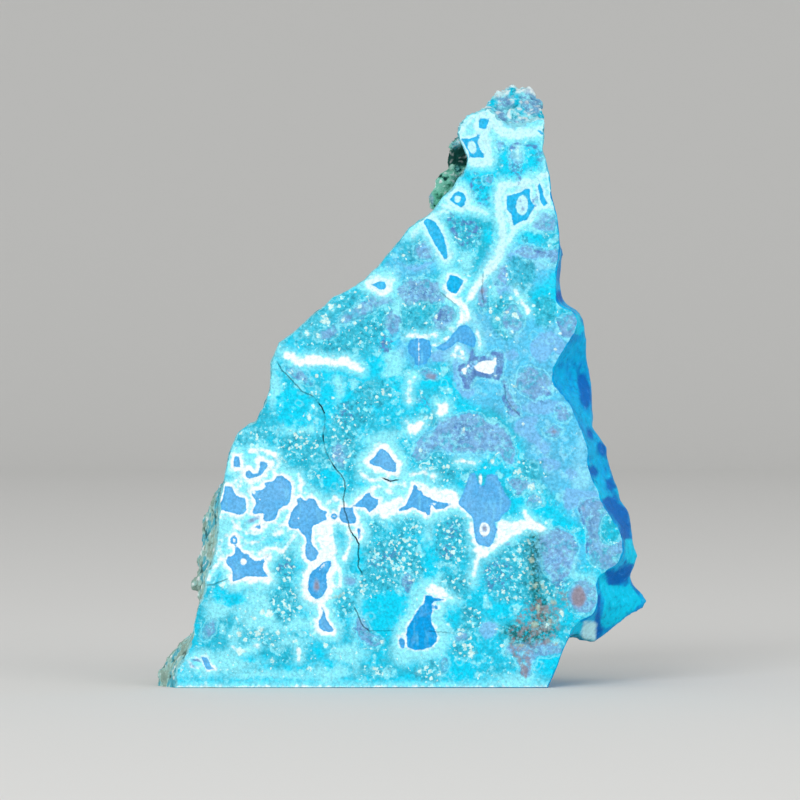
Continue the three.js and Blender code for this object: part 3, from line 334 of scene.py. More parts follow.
    "lilac": BRUISED_CLAST + """
45.8,18.6 46.8,19.2 48.6,19.2 50,18.6 50.5,17.2 50.3,15.8 50.1,14.6 49.6,13.8 48.6,13 47.4,12.8 47,13.8
46.5,14.8 46.3,16 46,17.2;
51,22.6 52.2,22.9 53.5,22.7 54.3,21.8 54.9,21 54.1,21.2 53.5,20.8 53.2,19.8 53.1,18.6 53.6,17.6 54.6,17.2
55.4,17.6 56,18.4 56.3,17 56.6,15.6 56.2,14.8 55,14.4 54,14.2 53.2,14.6 52.4,15.3 51.9,16.4 51.9,18
51.7,19.4 51.3,20.6 50.9,21.6;
33.4,31.2 33.8,32.6 35,33 36.4,33.2 37.6,33.6 38.8,33.2 39.8,32.4 41,32.2 42,31.4 42.6,30.2 43.2,28.8
43,27.2 42.2,27 41.6,28 40.6,28.8 39.4,28.8 38,28.6 36.6,28.8 35.2,28.6 34,29.2 33,29 32.4,28 31.4,27.6
30.6,28.4 31,29.8 32,30.6;
41.6,37.4 42,36.2 42.2,34.8 42.4,33.6 43,32.8 43.7,33.2 43.5,34.4 42.8,35.4 42.4,36.4 42,37.6;
42.2,25.2 43,25.4 44.6,25.2 45.6,25 45.4,24.3 44.6,24.3 43.8,23.6 43.2,23.4 43,24.2 42.4,24.6;
43.3,37.2 43.4,38 44,38.9 45,39.2 46,38.6 47,38.1 47.6,37.4 47.8,36.6 47.4,35.8 46.4,35.4 45.4,35.2
44.6,35.8 43.8,36.2; 48.4,44.9 49.4,45 50.6,44.6 50.4,43.2 49.6,42.6 48.8,43.2;
33.2,45.2 34.4,46.8 35.6,46.6 36,45.4 35.4,44.4 34.2,43.6 33.4,44;
28.6,49 30.4,50 32.6,50 34.4,49.4 35.2,48.2 34.6,47.2 33,47.2 31.6,47.4 30.2,46.8 29.2,47.6;
45.2,57.4 45.6,58.4 46.8,58.7 47.8,58.2 48.3,57 48,56.2 46.4,56 45.4,56.4;
43,53.6 44.6,54.4 46,53.6 47.6,53.8 48.8,54 49.2,52.8 48,52.2 46,52.6 44.4,52.6;
24,8.6 24.8,8.4 25.3,7.4 25.4,6.6 26.4,6.2 27,5.6 26.4,5 25.2,5.2 24.4,6 23.8,7.2;
42,5.2 43.4,5.4 44.6,5.8 46.4,5.6 48.4,5.4 48.6,4.2 47,4 45.6,3.8 45,2.6 44.6,1.4 43.8,1.4 43.4,2.8 42.8,4
41.6,4.2; 51.2,11 1.7,2; 52.1,21.4 0.5,1; 48.9,33.4 0.8,0.9; 47.8,31.2 0.9,0.6; 45.4,22.7 0.9,0.7;
6.2,7 1.1,0.6,60; 49.8,44.6 0.9,1.1,-40; 39.2,48.4 0.7,1.8; 42.9,45 1.2,1.7; 32.2,53.6 1.1;
34.5,2.9 0.4,0.7; 43.4,65.8 0.8,1.6; 41.4,66.8 0.5,0.7; 43.4,69.6 1.4,0.8; 36.4,6.2 0.9,0.5,20;
30,12.8 0.6,1; 23.1,12.9 0.8,0.6; 28.3,44.6 0.9,1.6; 26.8,47.4 1.4,0.7; 21.8,28.4 0.9,1.4;
24.9,46.6 1.7,0.8,30; 20.4,43.4 1.2,0.6,30; 22.6,45 0.8,0.6; 16.8,38.2 1.4,0.6,-30; 40,62.5 0.5,0.4;
41.4,50.6 0.9,1.2; 32.8,38.3 0.9,0.4,-10
""",
    # Soft periwinkle clouds.
    "haze": """
48.8,23.4 49.2,24.2 50.4,24.2 51.6,23.9 52.8,24 53.3,23.4 52.6,22.9 51.4,22.7 50.8,22 49.8,21.6 49,22
48.8,22.8; 45.9,27.9 46.8,28.2 47.6,27.8 48.6,27.4 48.3,26.6 47,26.2 46,26.5 45.8,27.2;
43,31.4 43.4,32.6 44.4,32.9 45.8,33.1 46,32.6 45.6,31.9 45.8,31 46.6,30.2 47.4,29.6 47.3,28.6 46.6,28.2
45.9,28.9 45.2,29.9 44.2,30.4 43.4,30.8;
46.2,43.4 47.6,43.6 48.6,43 49.4,42 49.4,41 48.8,40.4 48,41 47,41.9 46.2,42.4;
33.4,41.4 34.6,42.2 35.6,42.6 37,42 37.8,41 37.8,40 37,39.4 36.6,38.6 37,37.6 37.6,36.6 38.4,36.6 38.2,35.6
37.4,35.2 36.4,36 35.8,37.4 35.6,39 35.4,40 34.6,41; 46.3,41.4 1.3,1.6; 46.4,34.2 2.4,0.9;
42.6,40.6 0.9,0.6; 31.4,52.8 2.2,1.6,20; 42.4,49.6 1.6,2.4; 43.4,52.4 1.2,1.4; 48.5,16.2 1.4,1.6;
45.8,71.4 1.2,1.4; 39.8,7 1.1,1; 34.2,40.6 1.4,0.8; 22.4,44.8 2.4,1.2,20; 49.8,26 0.8,0.6
""",
    # A painted sheen: a wide thin haze under them, over the right of the face, where a reflection falls.
    "painted_sheen": """
36,45 38,46.4 41,45.6 44,46 47,45 50,45.4 51.5,42 51,38 52,33 53.6,27 54.6,22 52.6,19 50,20.4 47.6,23.6
44.6,26 44,30 41.6,33.6 38,34.6 35.6,38 35,42; 47.8,15.8 3.4,3; 31.4,42 2.6,3; 31.2,52.6 3.4,2.6,20;
36.8,30.6 5.4,2.6,-4; 43.6,51.6 4,3
""",
    # Dark blue-purple grains.
    "bruise": BRUISED_CLAST + """
35.2,58.2 36.6,57.2 38,57.2 38.8,56.2 38.8,55 38,54 37,54 36.2,55 35.4,56.2;
35.6,32 36.8,32.6 38,32.4 38.2,31.2 37.6,29.8 36.4,29.4 35.8,30.4;
29.6,48.8 31,49.6 33,49 34.6,48.2 34,47.4 32.2,47.8 30.6,47.4; 43.4,64.4 0.9,1.6; 39.1,48.9 0.5,1.1;
38.4,61.2 0.8,1.6; 31.8,34.9 0.9,0.5; 34.7,45.2 0.9,1.4; 46.6,65.4 0.7,1.2; 47.6,52.9 1.4,0.5,-20;
22.6,33.4 1.2; 16.9,38.2 1.2,0.5,-30; 41,13.6 1.6,2; 27.3,42.2 1,1.2; 24.4,6.8 0.8,1,30; 26,5.6 0.7,0.4;
15.4,14.6 0.9,0.8,10; 51.4,21.7 0.4,0.5; 52.4,20 0.3,0.9; 30,12.8 0.5,0.9; 27.6,15.8 2,0.8,20;
34.9,16.6 0.9; 35.6,19.2 1.2,1; 42.8,69.8 0.6,0.5; 32.6,26.6 0.6,0.3,40; 48.6,12.6 0.6,0.9;
46.2,34.8 0.5,0.3
""",
    # The iron stain, its ochre grains and the green around it.
    "rust": """
42.2,6.8 43.4,8.8 44.4,10.2 46,10.6 48.2,10.4 48.6,8.6 48,6.6 47.4,5.4 45,4.8 44.8,2.8 44.2,1.2 43.6,1.6
43.4,3.6 42.2,4.6 41.8,5.6; 46.6,10.2 0.5,0.3; 49,10.6 0.5,0.9; 48.4,11.4 0.7,0.4
""",
    "ochre": """
45.1,15.5 0.24,0.26; 44.9,13.9 0.42,0.2,20; 45.4,12.3 0.24,0.3; 45.3,7.6 0.5,0.4; 47.6,10.4 0.4,0.3;
45.8,9.6 0.2,0.5; 43.6,5.1 0.5,0.16; 47.2,8 0.3; 44.6,17.9 0.2; 46.4,12.2 0.16,0.5,10; 47.9,5.4 0.3,0.2;
20.6,10.8 1.5,0.14,18
""",
    "olive": """
44.7,18.6 45.9,18.6 46,16 45.9,14 46,12 46.8,10.6 46.8,9.2 47.8,8.4 47.6,7 46.6,6 44.8,5.4 42.6,5.6 41.7,6.6
42,7.6 43.6,7.6 44.8,7.4 45.2,9 45.2,10.6 44.9,12 45,14 44.8,16
""",
}
# Zones of the broken flank and the knob, as they face forward.
FLANK_ZONES = {
    # Darkest and brightest facets.
    "deep": """
53.9,14.1 54.9,14.3 55.2,14 55.8,14.3 57.5,14.9 57.3,14 56.9,13.2 56.7,12.6 55.6,12.3 54.4,12.3 54.2,13;
52.5,7.8 53.1,7.4 53.9,6.9 53.6,6.1 52.8,5.3 52.5,6.2; 52.8,7.5 53.3,7.6 53.4,9.6 53.2,11.2 52.9,10;
53.4,22.7 54.4,23.1 55.4,23.3 55.7,22.4 56.7,21.6 57.1,20 57.2,18.2 56.2,17.8 55.6,18.6 55.8,19.6 54.9,20.8
54.1,21.8; 53.3,29.8 54.2,29.6 54.5,28.6 53.8,28.1 53.2,28.8; 54.2,25.2 55,25.5 55.5,24.4 54.9,23.8
54.3,24.2; 52,26.8 52.6,27 53.2,26.2 52.8,25.6 52.2,26; 51.9,31.6 52.6,31.2 52.6,30.2 51.9,30.6;
51,38.2 51.9,38.5 52.6,36.6 52.7,34.8 51.8,33.8 51.2,34.8 51.1,36.4; 48.2,48.4 49,48.8 49.1,47.2 48.2,47.2
""",
    "bright": """
53.1,14 54,13 54.3,12.2 56.6,12.2 57,12.3 58.9,10.4 58.8,9.5 57,9 55.4,7.6 54.1,6.9 53.6,7.9 53.8,10.5
53.2,12.4; 56.5,16.4 56.7,15 57.7,15 58.1,16.2 57.3,18 56.4,17.8; 49.6,6.6 50.9,5.8 51.3,7.8 50.4,8.4; 50,45
51,45.6 51.6,44 51.2,43 50.4,43.4; 43.6,72.5 0.35,0.8; 44.3,71.4 0.3,0.4; 40.5,72 0.5,0.7; 43,74 0.35,0.5;
46.8,70.6 0.7,0.6
""",
    # White skin on a facet and on the knob's crests, whitened further as painted light, then the lilac flush
    # of the knob and a nodule.
    "white_and_lit": """
51,5.6 51.9,5.2 52.8,5.6 52.6,7.6 51.4,7.9; 41.4,73.8 1,0.5,10; 45,74.2 1.3,0.5,-10; 46,69.9 1,0.3
""",
    "flush": """
45.5,72.5 1.5,1.7; 41.5,70.5 0.7,1.3; 44,69.5 1.5,0.6; 42.3,72.4 1,0.6; 45.2,73.6 0.8,0.4;
32.8,60.2 0.5,0.9; 46.6,71.4 0.8,1
""",
}


def linear(colour):
    """A display colour as the linear RGBA that a shader's socket takes."""
    return tuple(c / 12.92 if c <= 0.04045 else ((c + 0.055) / 1.055) ** 2.4 for c in colour) + (1.0,)


def colour_property(name, description, *levels):
    """A colour whose default is a display colour in levels from 0 to 255."""
    return bpy.props.FloatVectorProperty(name=name, description=description, size=3, min=0, max=1,
                                         default=[level / 255 for level in levels], subtype="COLOR_GAMMA")


def length_property(name, description, default):
    return bpy.props.FloatProperty(
        name=name, description=description, default=default * MM, min=0, precision=5, unit="LENGTH")


class StoneSizes(bpy.types.PropertyGroup):
    """Sizes of the stone's surface detail."""

    grain: length_property("Mesh grain", "Side of the mesh's faces on the rough surfaces", 0.40)
    face_grain: length_property("Face grain", "Side of the mesh's faces on the sawn front", 0.26)
    crust_cell: length_property("Crust cell", "Width of one dome of the crust", 2.3)
    crust_height: length_property("Crust height", "Depth of the furrows between the domes", 0.50)
    ledge_height: length_property("Ledge height", "Depth of the broken ledges", 0.35)
    arris: length_property("Arris wear", "Usual width worn off the sawn edges", 0.22)


class StoneColours(bpy.types.PropertyGroup):
    """Colours of the stone, as they are seen in white light; some of them also paint shade, highlights and a
    sheen.
    """

    periwinkle: colour_property("Periwinkle core", "Blue cores at the left", 100, 177, 229)
    azure: colour_property("Azure core", "Blue cores below and at the top", 0, 154, 222)
    white: colour_property("White rim", "Crisp rims and veins", 246, 255, 255)
    pale: colour_property("Pale cyan", "Halos and pale cement", 146, 236, 250)
    cyan: colour_property("Cyan", "Cement between the clasts", 26, 204, 238)
    teal: colour_property("Teal", "Darker cement", 34, 180, 208)
    vivid: colour_property("Vivid cyan", "Most saturated patches", 0, 208, 242)
    clast: colour_property("Clast", "Granular grey-teal clasts", 58, 184, 210)
    lilac: colour_property("Lilac", "Greyer clasts at the right", 126, 168, 212)
    # The haze tone also paints the sheen over the right of the face.
    haze: colour_property("Haze", "Soft periwinkle clouds at the right", 122, 185, 236)
    ochre: colour_property("Ochre", "Ochre grains in the green stain", 176, 196, 176)
    bruise: colour_property("Bruise", "Dark blue-purple grains", 80, 134, 186)
    rust: colour_property("Rust", "Iron stain", 150, 128, 130)
    olive: colour_property("Olive", "Green stain", 26, 100, 100)
    seam: colour_property("Seam", "Dark lilac seams", 84, 122, 186)
    speck: colour_property("Speck", "Pale grains in the clasts", 214, 244, 238)
    crack: colour_property("Crack", "Open cracks and pits", 8, 58, 70)
    shell: colour_property("Broken cyan", "Smooth broken faces", 0, 178, 232)
    deep: colour_property("Deep blue", "Darkest broken faces", 0, 106, 190)
    # Mint is also the painted highlight on the lit nodules' tops.
    mint: colour_property("Mint", "Tops of the nodules", 138, 218, 198)
    dark: colour_property("Dark grains", "Darker grains in the clasts", 34, 140, 168)
    leaf: colour_property("Leaf green", "Greener nodules", 104, 200, 170)
    # Moss is also the painted shade in the furrows of the crust, the nodules and the rind.
    moss: colour_property("Moss", "Furrows between the nodules", 20, 74, 68)
    rind: colour_property("Rind", "Greenish white skin at the left", 172, 220, 212)
    tan: colour_property("Tan", "Earthy crust", 132, 132, 106)


class StageSettings(bpy.types.PropertyGroup):
    """The plain stage around the stone."""

    floor: colour_property("Floor", "Colour of the floor and the sweep behind", 214, 214, 212)
    key: bpy.props.FloatProperty(name="Key light", description="Power of the large front light", default=3.6,
                                 min=0, unit="POWER")
    fill: bpy.props.FloatProperty(name="Fill light", description="Power of the light at the right",
                                  default=1.2, min=0, unit="POWER")
    sky: bpy.props.FloatProperty(name="Room light", description="Strength of the even light", default=0.72,
                                 min=0)
    lens: bpy.props.FloatProperty(name="Lens", description="Focal length in millimetres", default=187.5,
                                  min=1, subtype="DISTANCE_CAMERA")
    distance: bpy.props.FloatProperty(name="Distance", description="From the camera to the foot of the face",
                                      default=0.5, min=0.1, unit="LENGTH")


def smooth(value, low, high):
    """0 below low, 1 above high, and an even curve between; low may be the greater."""
    t = np.clip((value - low) / (high - low), 0, 1)
    return t * t * (3 - 2 * t)


def numbers(text, mark=None):
    """The numbers of a text, parted by a mark or by spaces."""
    return [float(number) for number in text.split(mark)]


def shapes(drawing):
    """Each shape of a drawing: the numbers before its ':', and its places."""
    for row in drawing.split(";"):
        head, _, drawn = row.rpartition(":")
        yield numbers(head), [numbers(place, ",") for place in drawn.split()]


def segment_distance(places, starts, ends):
    """Distance from each place to the nearest of some segments."""
    along = ends - starts
    offset = places[:, None] - starts
    share = np.clip((offset * along).sum(2) / (along * along).sum(1), 0, 1)
    return np.sqrt(((offset - share[..., None] * along) ** 2).sum(2)).min(1)


def outline_distance(places, outline):
    """Distance from each place to a closed outline, negative inside."""
    following = np.roll(outline, -1, axis=0)
    distance = segment_distance(places, outline, following)
    u, v = places[:, 0, None], places[:, 1, None]
    rise = following[:, 1] - outline[:, 1]
    slope = (following[:, 0] - outline[:, 0]) / np.where(rise == 0, 1, rise)
    level = (outline[:, 1] > v) != (following[:, 1] > v)
    crosses = level & (u < outline[:, 0] + (v - outline[:, 1]) * slope)
    return np.where(crosses.sum(1) % 2 == 1, -distance, distance)


def oval_distance(places, middle, half_width, half_height=None, tilt=0.0):
    """Rough distance from each place to a tilted oval, negative inside."""
    half_height = half_height or half_width
    turn = math.radians(tilt)
    du, dv = (places - middle).T
    across = (du * math.cos(turn) + dv * math.sin(turn)) / half_width
    upward = (dv * math.cos(turn) - du * math.sin(turn)) / half_height
    return (np.hypot(across, upward) - 1) * min(half_width, half_height)


def shape_distance(places, shape):
    """Distance from each place to an oval, which is given in two groups of numbers, or to an outline."""
    if len(shape) == 2:
        return oval_distance(places, shape[0], *shape[1])
    return outline_distance(places, np.array(shape))


def nearest(distances):
    """The smallest of several distances at each place."""
    return np.minimum.reduce(list(distances))


def zone_distance(places, drawing):
    """Distance to the nearest of some ovals and outlines, negative inside."""
    return nearest(shape_distance(places, shape) for _, shape in shapes(drawing))


def line_distance(places, drawing):
    """Distance to the edge of the nearest line, whose half width stands before it."""
    lines = [(half_width, np.array(line)) for (half_width,), line in shapes(drawing)]
    return nearest(segment_distance(places, line[:-1], line[1:]) - half_width for half_width, line in lines)


def crack_fields(places):
    """How strong the nearest crack is at each place, and on which side of it the place is and how far."""
    closest, side_at = np.full((2, len(places)), FAR)
    strength_at = np.zeros(len(places))
    for (strength,), line in shapes(CRACKS):
        line = np.array(line)
        for start, end in zip(line[:-1], line[1:]):
            away = segment_distance(places, start[None], end[None])
            along = (end - start) / np.hypot(*(end - start))
            side = along[0] * (places[:, 1] - start[1]) - along[1] * (places[:, 0] - start[0])
            nearer = away < closest
            closest, side_at = np.where(nearer, away, closest), np.where(nearer, side, side_at)
            strength_at = np.where(nearer, strength, strength_at)
    return strength_at * smooth(closest, 0.7, 0.3), side_at


def markings(places):
    """Every drawn marking as a field: millimetres to its edge, negative inside."""
    fields = {name: zone_distance(places, drawing) for name, drawing in (FACE_ZONES | FLANK_ZONES).items()}
    heads, cores = zip(*shapes(CORES))
    to_cores = np.array([shape_distance(places, core) for core in cores])
    tints, rims, halos = np.array(heads).T
    fields["core"] = to_cores.min(0)
    fields["tint"] = tints[to_cores.argmin(0)]
    to_rims = to_cores - rims[:, None]
    fields["white"] = nearest([*to_rims, line_distance(places, THREADS), fields["white"]])
    fields["pale"] = nearest([*(to_rims - halos[:, None]), fields["pale"]])
    fields["seam"] = line_distance(places, SEAMS)
    fields["crack"], fields["crack_side"] = crack_fields(places)
    return fields


def read_points(data, attribute="co"):
    """The vertices' places or normals as rows of three numbers."""
    flat = np.empty(len(data) * 3)
    data.foreach_get(attribute, flat)
    return flat.reshape(-1, 3)


def store(mesh, name, values):
    """Keeps one number a vertex on the mesh, where the material and the later cuts can read it."""
    layer = mesh.attributes.get(name) or mesh.attributes.new(name, "FLOAT", "POINT")
    layer.data.foreach_set("value", values.astype(np.float32))


def stored(mesh, name):
    """The numbers that were stored under a name, one a vertex."""
    values = np.empty(len(mesh.vertices), dtype=np.float32)
    mesh.attributes[name].data.foreach_get("value", values)
    return values


def face_places(points):
    """(u, v) and the depth behind the sawn face for each point."""
    v = points[:, 2] / math.cos(LEAN)
    depth = (points[:, 1] - FOOT.y) * math.cos(LEAN) - points[:, 2] * math.sin(LEAN)
    return np.column_stack((points[:, 0] + FACE_LEFT, v)), depth


def lies_on(face, place, outward):
    """Whether a face lies on a saw's plane."""
    away = (face.calc_center_median() - place).dot(outward)
    return face.normal.dot(outward) > FLAT and abs(away) < ON_PLANE


def of_kind(items, kind):
    """Those of a bmesh operator's items that are vertices, edges or faces."""
    return [item for item in items if isinstance(item, kind)]


def push_out(bm, place, outward, offset):
    """Moves a flat side of the solid outward, so that the saw can cut it clean again."""
    faces = [face for face in bm.faces if lies_on(face, place, outward)]
    grown = bmesh.ops.extrude_face_region(bm, geom=faces)["geom"]
    bmesh.ops.delete(bm, geom=faces, context="FACES")
    bmesh.ops.translate(bm, verts=of_kind(grown, bmesh.types.BMVert), vec=offset)
    bm.normal_update()


def evenly_meshed(solid, grain):
    """The CAD solid in millimetres, a little long at both saw cuts, as one even skin of small quads."""
    bm = bmesh.new()
    bm.from_mesh(solid.data)
    bmesh.ops.scale(bm, vec=(1 / MM,) * 3, verts=bm.verts)
    bmesh.ops.remove_doubles(bm, verts=bm.verts, dist=WELD)
    bm.normal_update()
    push_out(bm, FOOT, FACE_OUT, (0, -SAW_SPARE, 0))
    push_out(bm, BASE, BASE_OUT, (0, 0, -SAW_SPARE))
    rough = bpy.data.objects.new("rough_block", bpy.data.meshes.new("rough_block"))
    bm.to_mesh(rough.data)
    bm.free()
    bpy.context.scene.collection.objects.link(rough)
    remesh = rough.modifiers.new("even_skin", "REMESH")
    remesh.mode = "VOXEL"
    remesh.voxel_size = grain
    skin = bpy.data.meshes.new_from_object(rough.evaluated_get(bpy.context.evaluated_depsgraph_get()))
    block = rough.data
    bpy.data.objects.remove(rough)
    bpy.data.meshes.remove(block)
    refine(skin)
    return skin


def rough_parts(points, normals):
    """How far each point belongs to the knob, to the nodules, to the broken flank and to the sliver."""
    places, depth = face_places(points)
    behind = smooth(depth, 0.5, 3)
    stray = np.array([noise.noise_vector(Vector(point) / STRAY) for point in points])
    u, v = (places + 3.2 * behind[:, None] * stray[:, :2]).T
    knob = smooth(v, *KNOB_FOOT)
    nodule = smooth(u, *NODULES_RIGHT) * smooth(v, *NODULES_FOOT) * smooth(v, *NODULES_TOP)
    nodule *= smooth(depth, *NODULES_FRONT) * smooth(depth + 3 * stray[:, 2], *NODULES_BACK)
    broken = smooth(normals[:, 0] + 0.25 * stray[:, 2] * behind, *FLANK_TURN)
    broken *= (1 - knob) * smooth(v, *FLANK_TOP) * smooth(u, *FLANK_LEFT)
    sliver = smooth(u, *SLIVER_RIGHT) * smooth(v + 9 * stray[:, 2], *SLIVER_TOP)
    sliver *= smooth(normals[:, 1] + 0.4 * stray[:, 2], *SLIVER_TURN)
    return knob, nodule, broken, sliver


def refine(skin):
    """Halves the faces of the knob, the nodules and the sliver, whose grains are finer than the mesh."""
    knob, nodule, _, sliver = rough_parts(read_points(skin.vertices), read_points(skin.vertices, "normal"))
    wanted = np.maximum.reduce([knob, nodule, sliver]) > 0.3
    bm = bmesh.new()
    bm.from_mesh(skin)
    edges = [edge for edge in bm.edges if all(wanted[vert.index] for vert in edge.verts)]
    bmesh.ops.subdivide_edges(bm, edges=edges, cuts=1, use_grid_fill=True)
    bmesh.ops.smooth_vert(bm, verts=bm.verts, factor=0.5, use_axis_x=True, use_axis_y=True, use_axis_z=True)
    bm.to_mesh(skin)
    bm.free()


def dome(point, width):
    """Height from 0 to 1 of round domes packed side by side."""
    away = noise.voronoi(point / width)[0][0]
    return math.sqrt(max(0.0, 1 - (away / 0.85) ** 2))


def roughen(skin, sizes):
    """Works the crust, the knob, the nodules and the broken shells into the skin, mostly inward."""
    points, normals = read_points(skin.vertices), read_points(skin.vertices, "normal")
    depth = face_places(points)[1]
    knob, nodule, broken, sliver = rough_parts(points, normals)
    fade = np.maximum(0.45 + 0.55 * smooth(depth, 0.1, 1.6), 0.9 * knob)
    cell, tall, ledge = sizes.crust_cell / MM, sizes.crust_height / MM, sizes.ledge_height / MM
    push, relief = np.zeros(len(points)), np.zeros(len(points))
    for index, place in enumerate(points):
        point = Vector(place)
        swell = noise.noise(point / SWELL)
        grit = noise.noise(point / GRIT + Vector((7, 3, 1)))
        slab = noise.noise(point / SLAB + Vector((20, 0, 4)))
        terrace = math.floor(slab * LEDGES) / LEDGES - slab
        small = max(nodule[index], knob[index], 0.9 * sliver[index])
        size = cell * (1 - 0.5 * nodule[index] - 0.68 * knob[index] - 0.5 * sliver[index])
        grit += small * noise.noise(point / FINE_GRIT)
        bumps = 0.7 * dome(point, size) + 0.3 * dome(point + Vector((9, 9, 9)), size * 0.5)
        crust = tall * (bumps - 0.8) * (1 + 0.3 * small) * (0.55 + 0.9 * smooth(swell, -0.3, 0.3))
        crust += knob[index] * tall * (dome(point, 0.8 * cell) - 0.8)
        crust += ledge * (terrace - 0.1) + 0.2 * grit
        shell = 0.35 * terrace * ledge + 0.05 * grit + 0.12 * abs(slab) - 0.06
        push[index] = crust + broken[index] * (shell - crust)
        relief[index] = bumps + 0.25 * grit
    fade = fade * (1 - 0.35 * smooth(-normals.dot(FACE_OUT), 0.2, -0.6))
    points += normals * (push * fade)[:, None]
    skin.vertices.foreach_set("co", points.ravel())
    for name, values in (("relief", relief), ("broken", broken), ("nodule", nodule), ("knob", knob),
                         ("sliver", sliver), ("facing_x", normals[:, 0]), ("facing_y", normals[:, 1])):
        store(skin, name, values)


def split(bm, geom, place, outward, reach=CLEAN_CUT, clear=False):
    """Cuts some geometry along a plane, and gives back what is left of it."""
    return bmesh.ops.bisect_plane(bm, geom=geom, dist=reach, plane_co=place, plane_no=outward,
                                  clear_outer=clear)["geom"]


def saw(bm, place, outward):
    """Cuts everything beyond a plane away and closes the cut with one flat face."""
    split(bm, bm.verts[:] + bm.edges[:] + bm.faces[:], place, outward, clear=True)
    bmesh.ops.holes_fill(bm, edges=[edge for edge in bm.edges if edge.is_boundary], sides=0)


def corner_count(face):
    return len(face.verts)


def wear_arris(cap, out, width):
    """Wears the sharp edge of a saw cut back by a little that varies along it."""
    for vert in list(cap.verts):
        side = sum((face.normal for face in vert.link_faces if face != cap), Vector())
        side -= side.dot(out) * out
        if side.length > 0.1:
            wear = width * (0.35 + 1.3 * abs(noise.noise(vert.co / WEAR)))
            vert.co -= side.normalized() * min(wear, width * 1.6)


def slices(bm, faces, normal, first, count, step):
    """Cuts flat faces into strips by halves, so that each cut only meets its own half."""
    if count < 1 or not faces:
        return faces
    half = (count - 1) // 2
    at = first + half * step
    edges = list(dict.fromkeys(edge for face in faces for edge in face.edges))
    verts = list(dict.fromkeys(vert for edge in edges for vert in edge.verts))
    parts = of_kind(split(bm, verts + edges + faces, normal * at, normal, STRIP_CUT), bmesh.types.BMFace)
    low = [face for face in parts if face.calc_center_median().dot(normal) < at]
    high = [face for face in parts if face.calc_center_median().dot(normal) >= at]
    return (slices(bm, low, normal, first, half, step)
            + slices(bm, high, normal, at + step, count - half - 1, step))


def cut_stone(skin, sizes):
    """Saws the front and the base flat, wears the front's edge and grids it for its markings."""
    bm = bmesh.new()
    bm.from_mesh(skin)
    arris, step = sizes.arris / MM, sizes.face_grain / MM
    saw(bm, BASE, BASE_OUT)
    saw(bm, FOOT, FACE_OUT)
    split(bm, bm.verts[:] + bm.edges[:] + bm.faces[:], FOOT - arris * FACE_OUT, FACE_OUT)
    front = max((face for face in bm.faces if face.normal.dot(FACE_OUT) > FLAT), key=corner_count)
    wear_arris(front, FACE_OUT, arris)
    wide, high = BOX_HIGH.x - BOX_LOW.x, BOX_HIGH.z / math.cos(LEAN)
    strips = slices(bm, [front], Vector((1, 0, 0)), BOX_LOW.x + step, int(wide / step), step)
    squares = slices(bm, strips, FACE_UP, FOOT.dot(FACE_UP) + step, int(high / step), step)
    bm.normal_update()
    sawn = set(squares)
    for face in bm.faces:
        face.smooth = True
        face.material_index = 0 if face in sawn or lies_on(face, BASE, BASE_OUT) else 1
    for edge in bm.edges:
        edge.smooth = len({face.material_index for face in edge.link_faces}) == 1
    bmesh.ops.recalc_face_normals(bm, faces=bm.faces)
    bm.to_mesh(skin)
    bm.free()


def lay_charts(mesh):
    """A map without overlaps: the front, the back, the base and both flanks, each seen square on."""
    chart = mesh.uv_layers.new(name="OFBake")
    points = read_points(mesh.vertices)
    facing_x, facing_y = stored(mesh, "facing_x"), stored(mesh, "facing_y")
    coordinates = np.empty((len(mesh.loops), 2))
    for polygon in mesh.polygons:
        corners = list(polygon.vertices)
        x, y, z = points[corners].T
        across, deep = x + HALF_WIDE, y + HALF_DEEP
        place = LEFT_START + LEFT_CHART * (20 + 0.6 * x + 0.8 * z), FLANK_FLOOR + SMALL_CHART * deep
        if polygon.material_index == 0 and polygon.normal.z > 0:
            place = MARGIN + FRONT_CHART * across, MARGIN + FRONT_CHART * z / math.cos(LEAN)
        elif polygon.material_index == 0:
            place = BASE_LEFT + SMALL_CHART * across, BASE_FLOOR + SMALL_CHART * deep
        elif facing_y[corners].mean() > 0.55:
            place = BACK_RIGHT - SMALL_CHART * across, MARGIN + SMALL_CHART * z
        elif facing_x[corners].mean() > 0:
            place = MARGIN + RIGHT_CHART * (12 - 0.35 * x + 0.94 * z), FLANK_FLOOR + SMALL_CHART * deep
        coordinates[list(polygon.loop_indices)] = np.column_stack(place)
    chart.data.foreach_set("uv", coordinates.ravel())


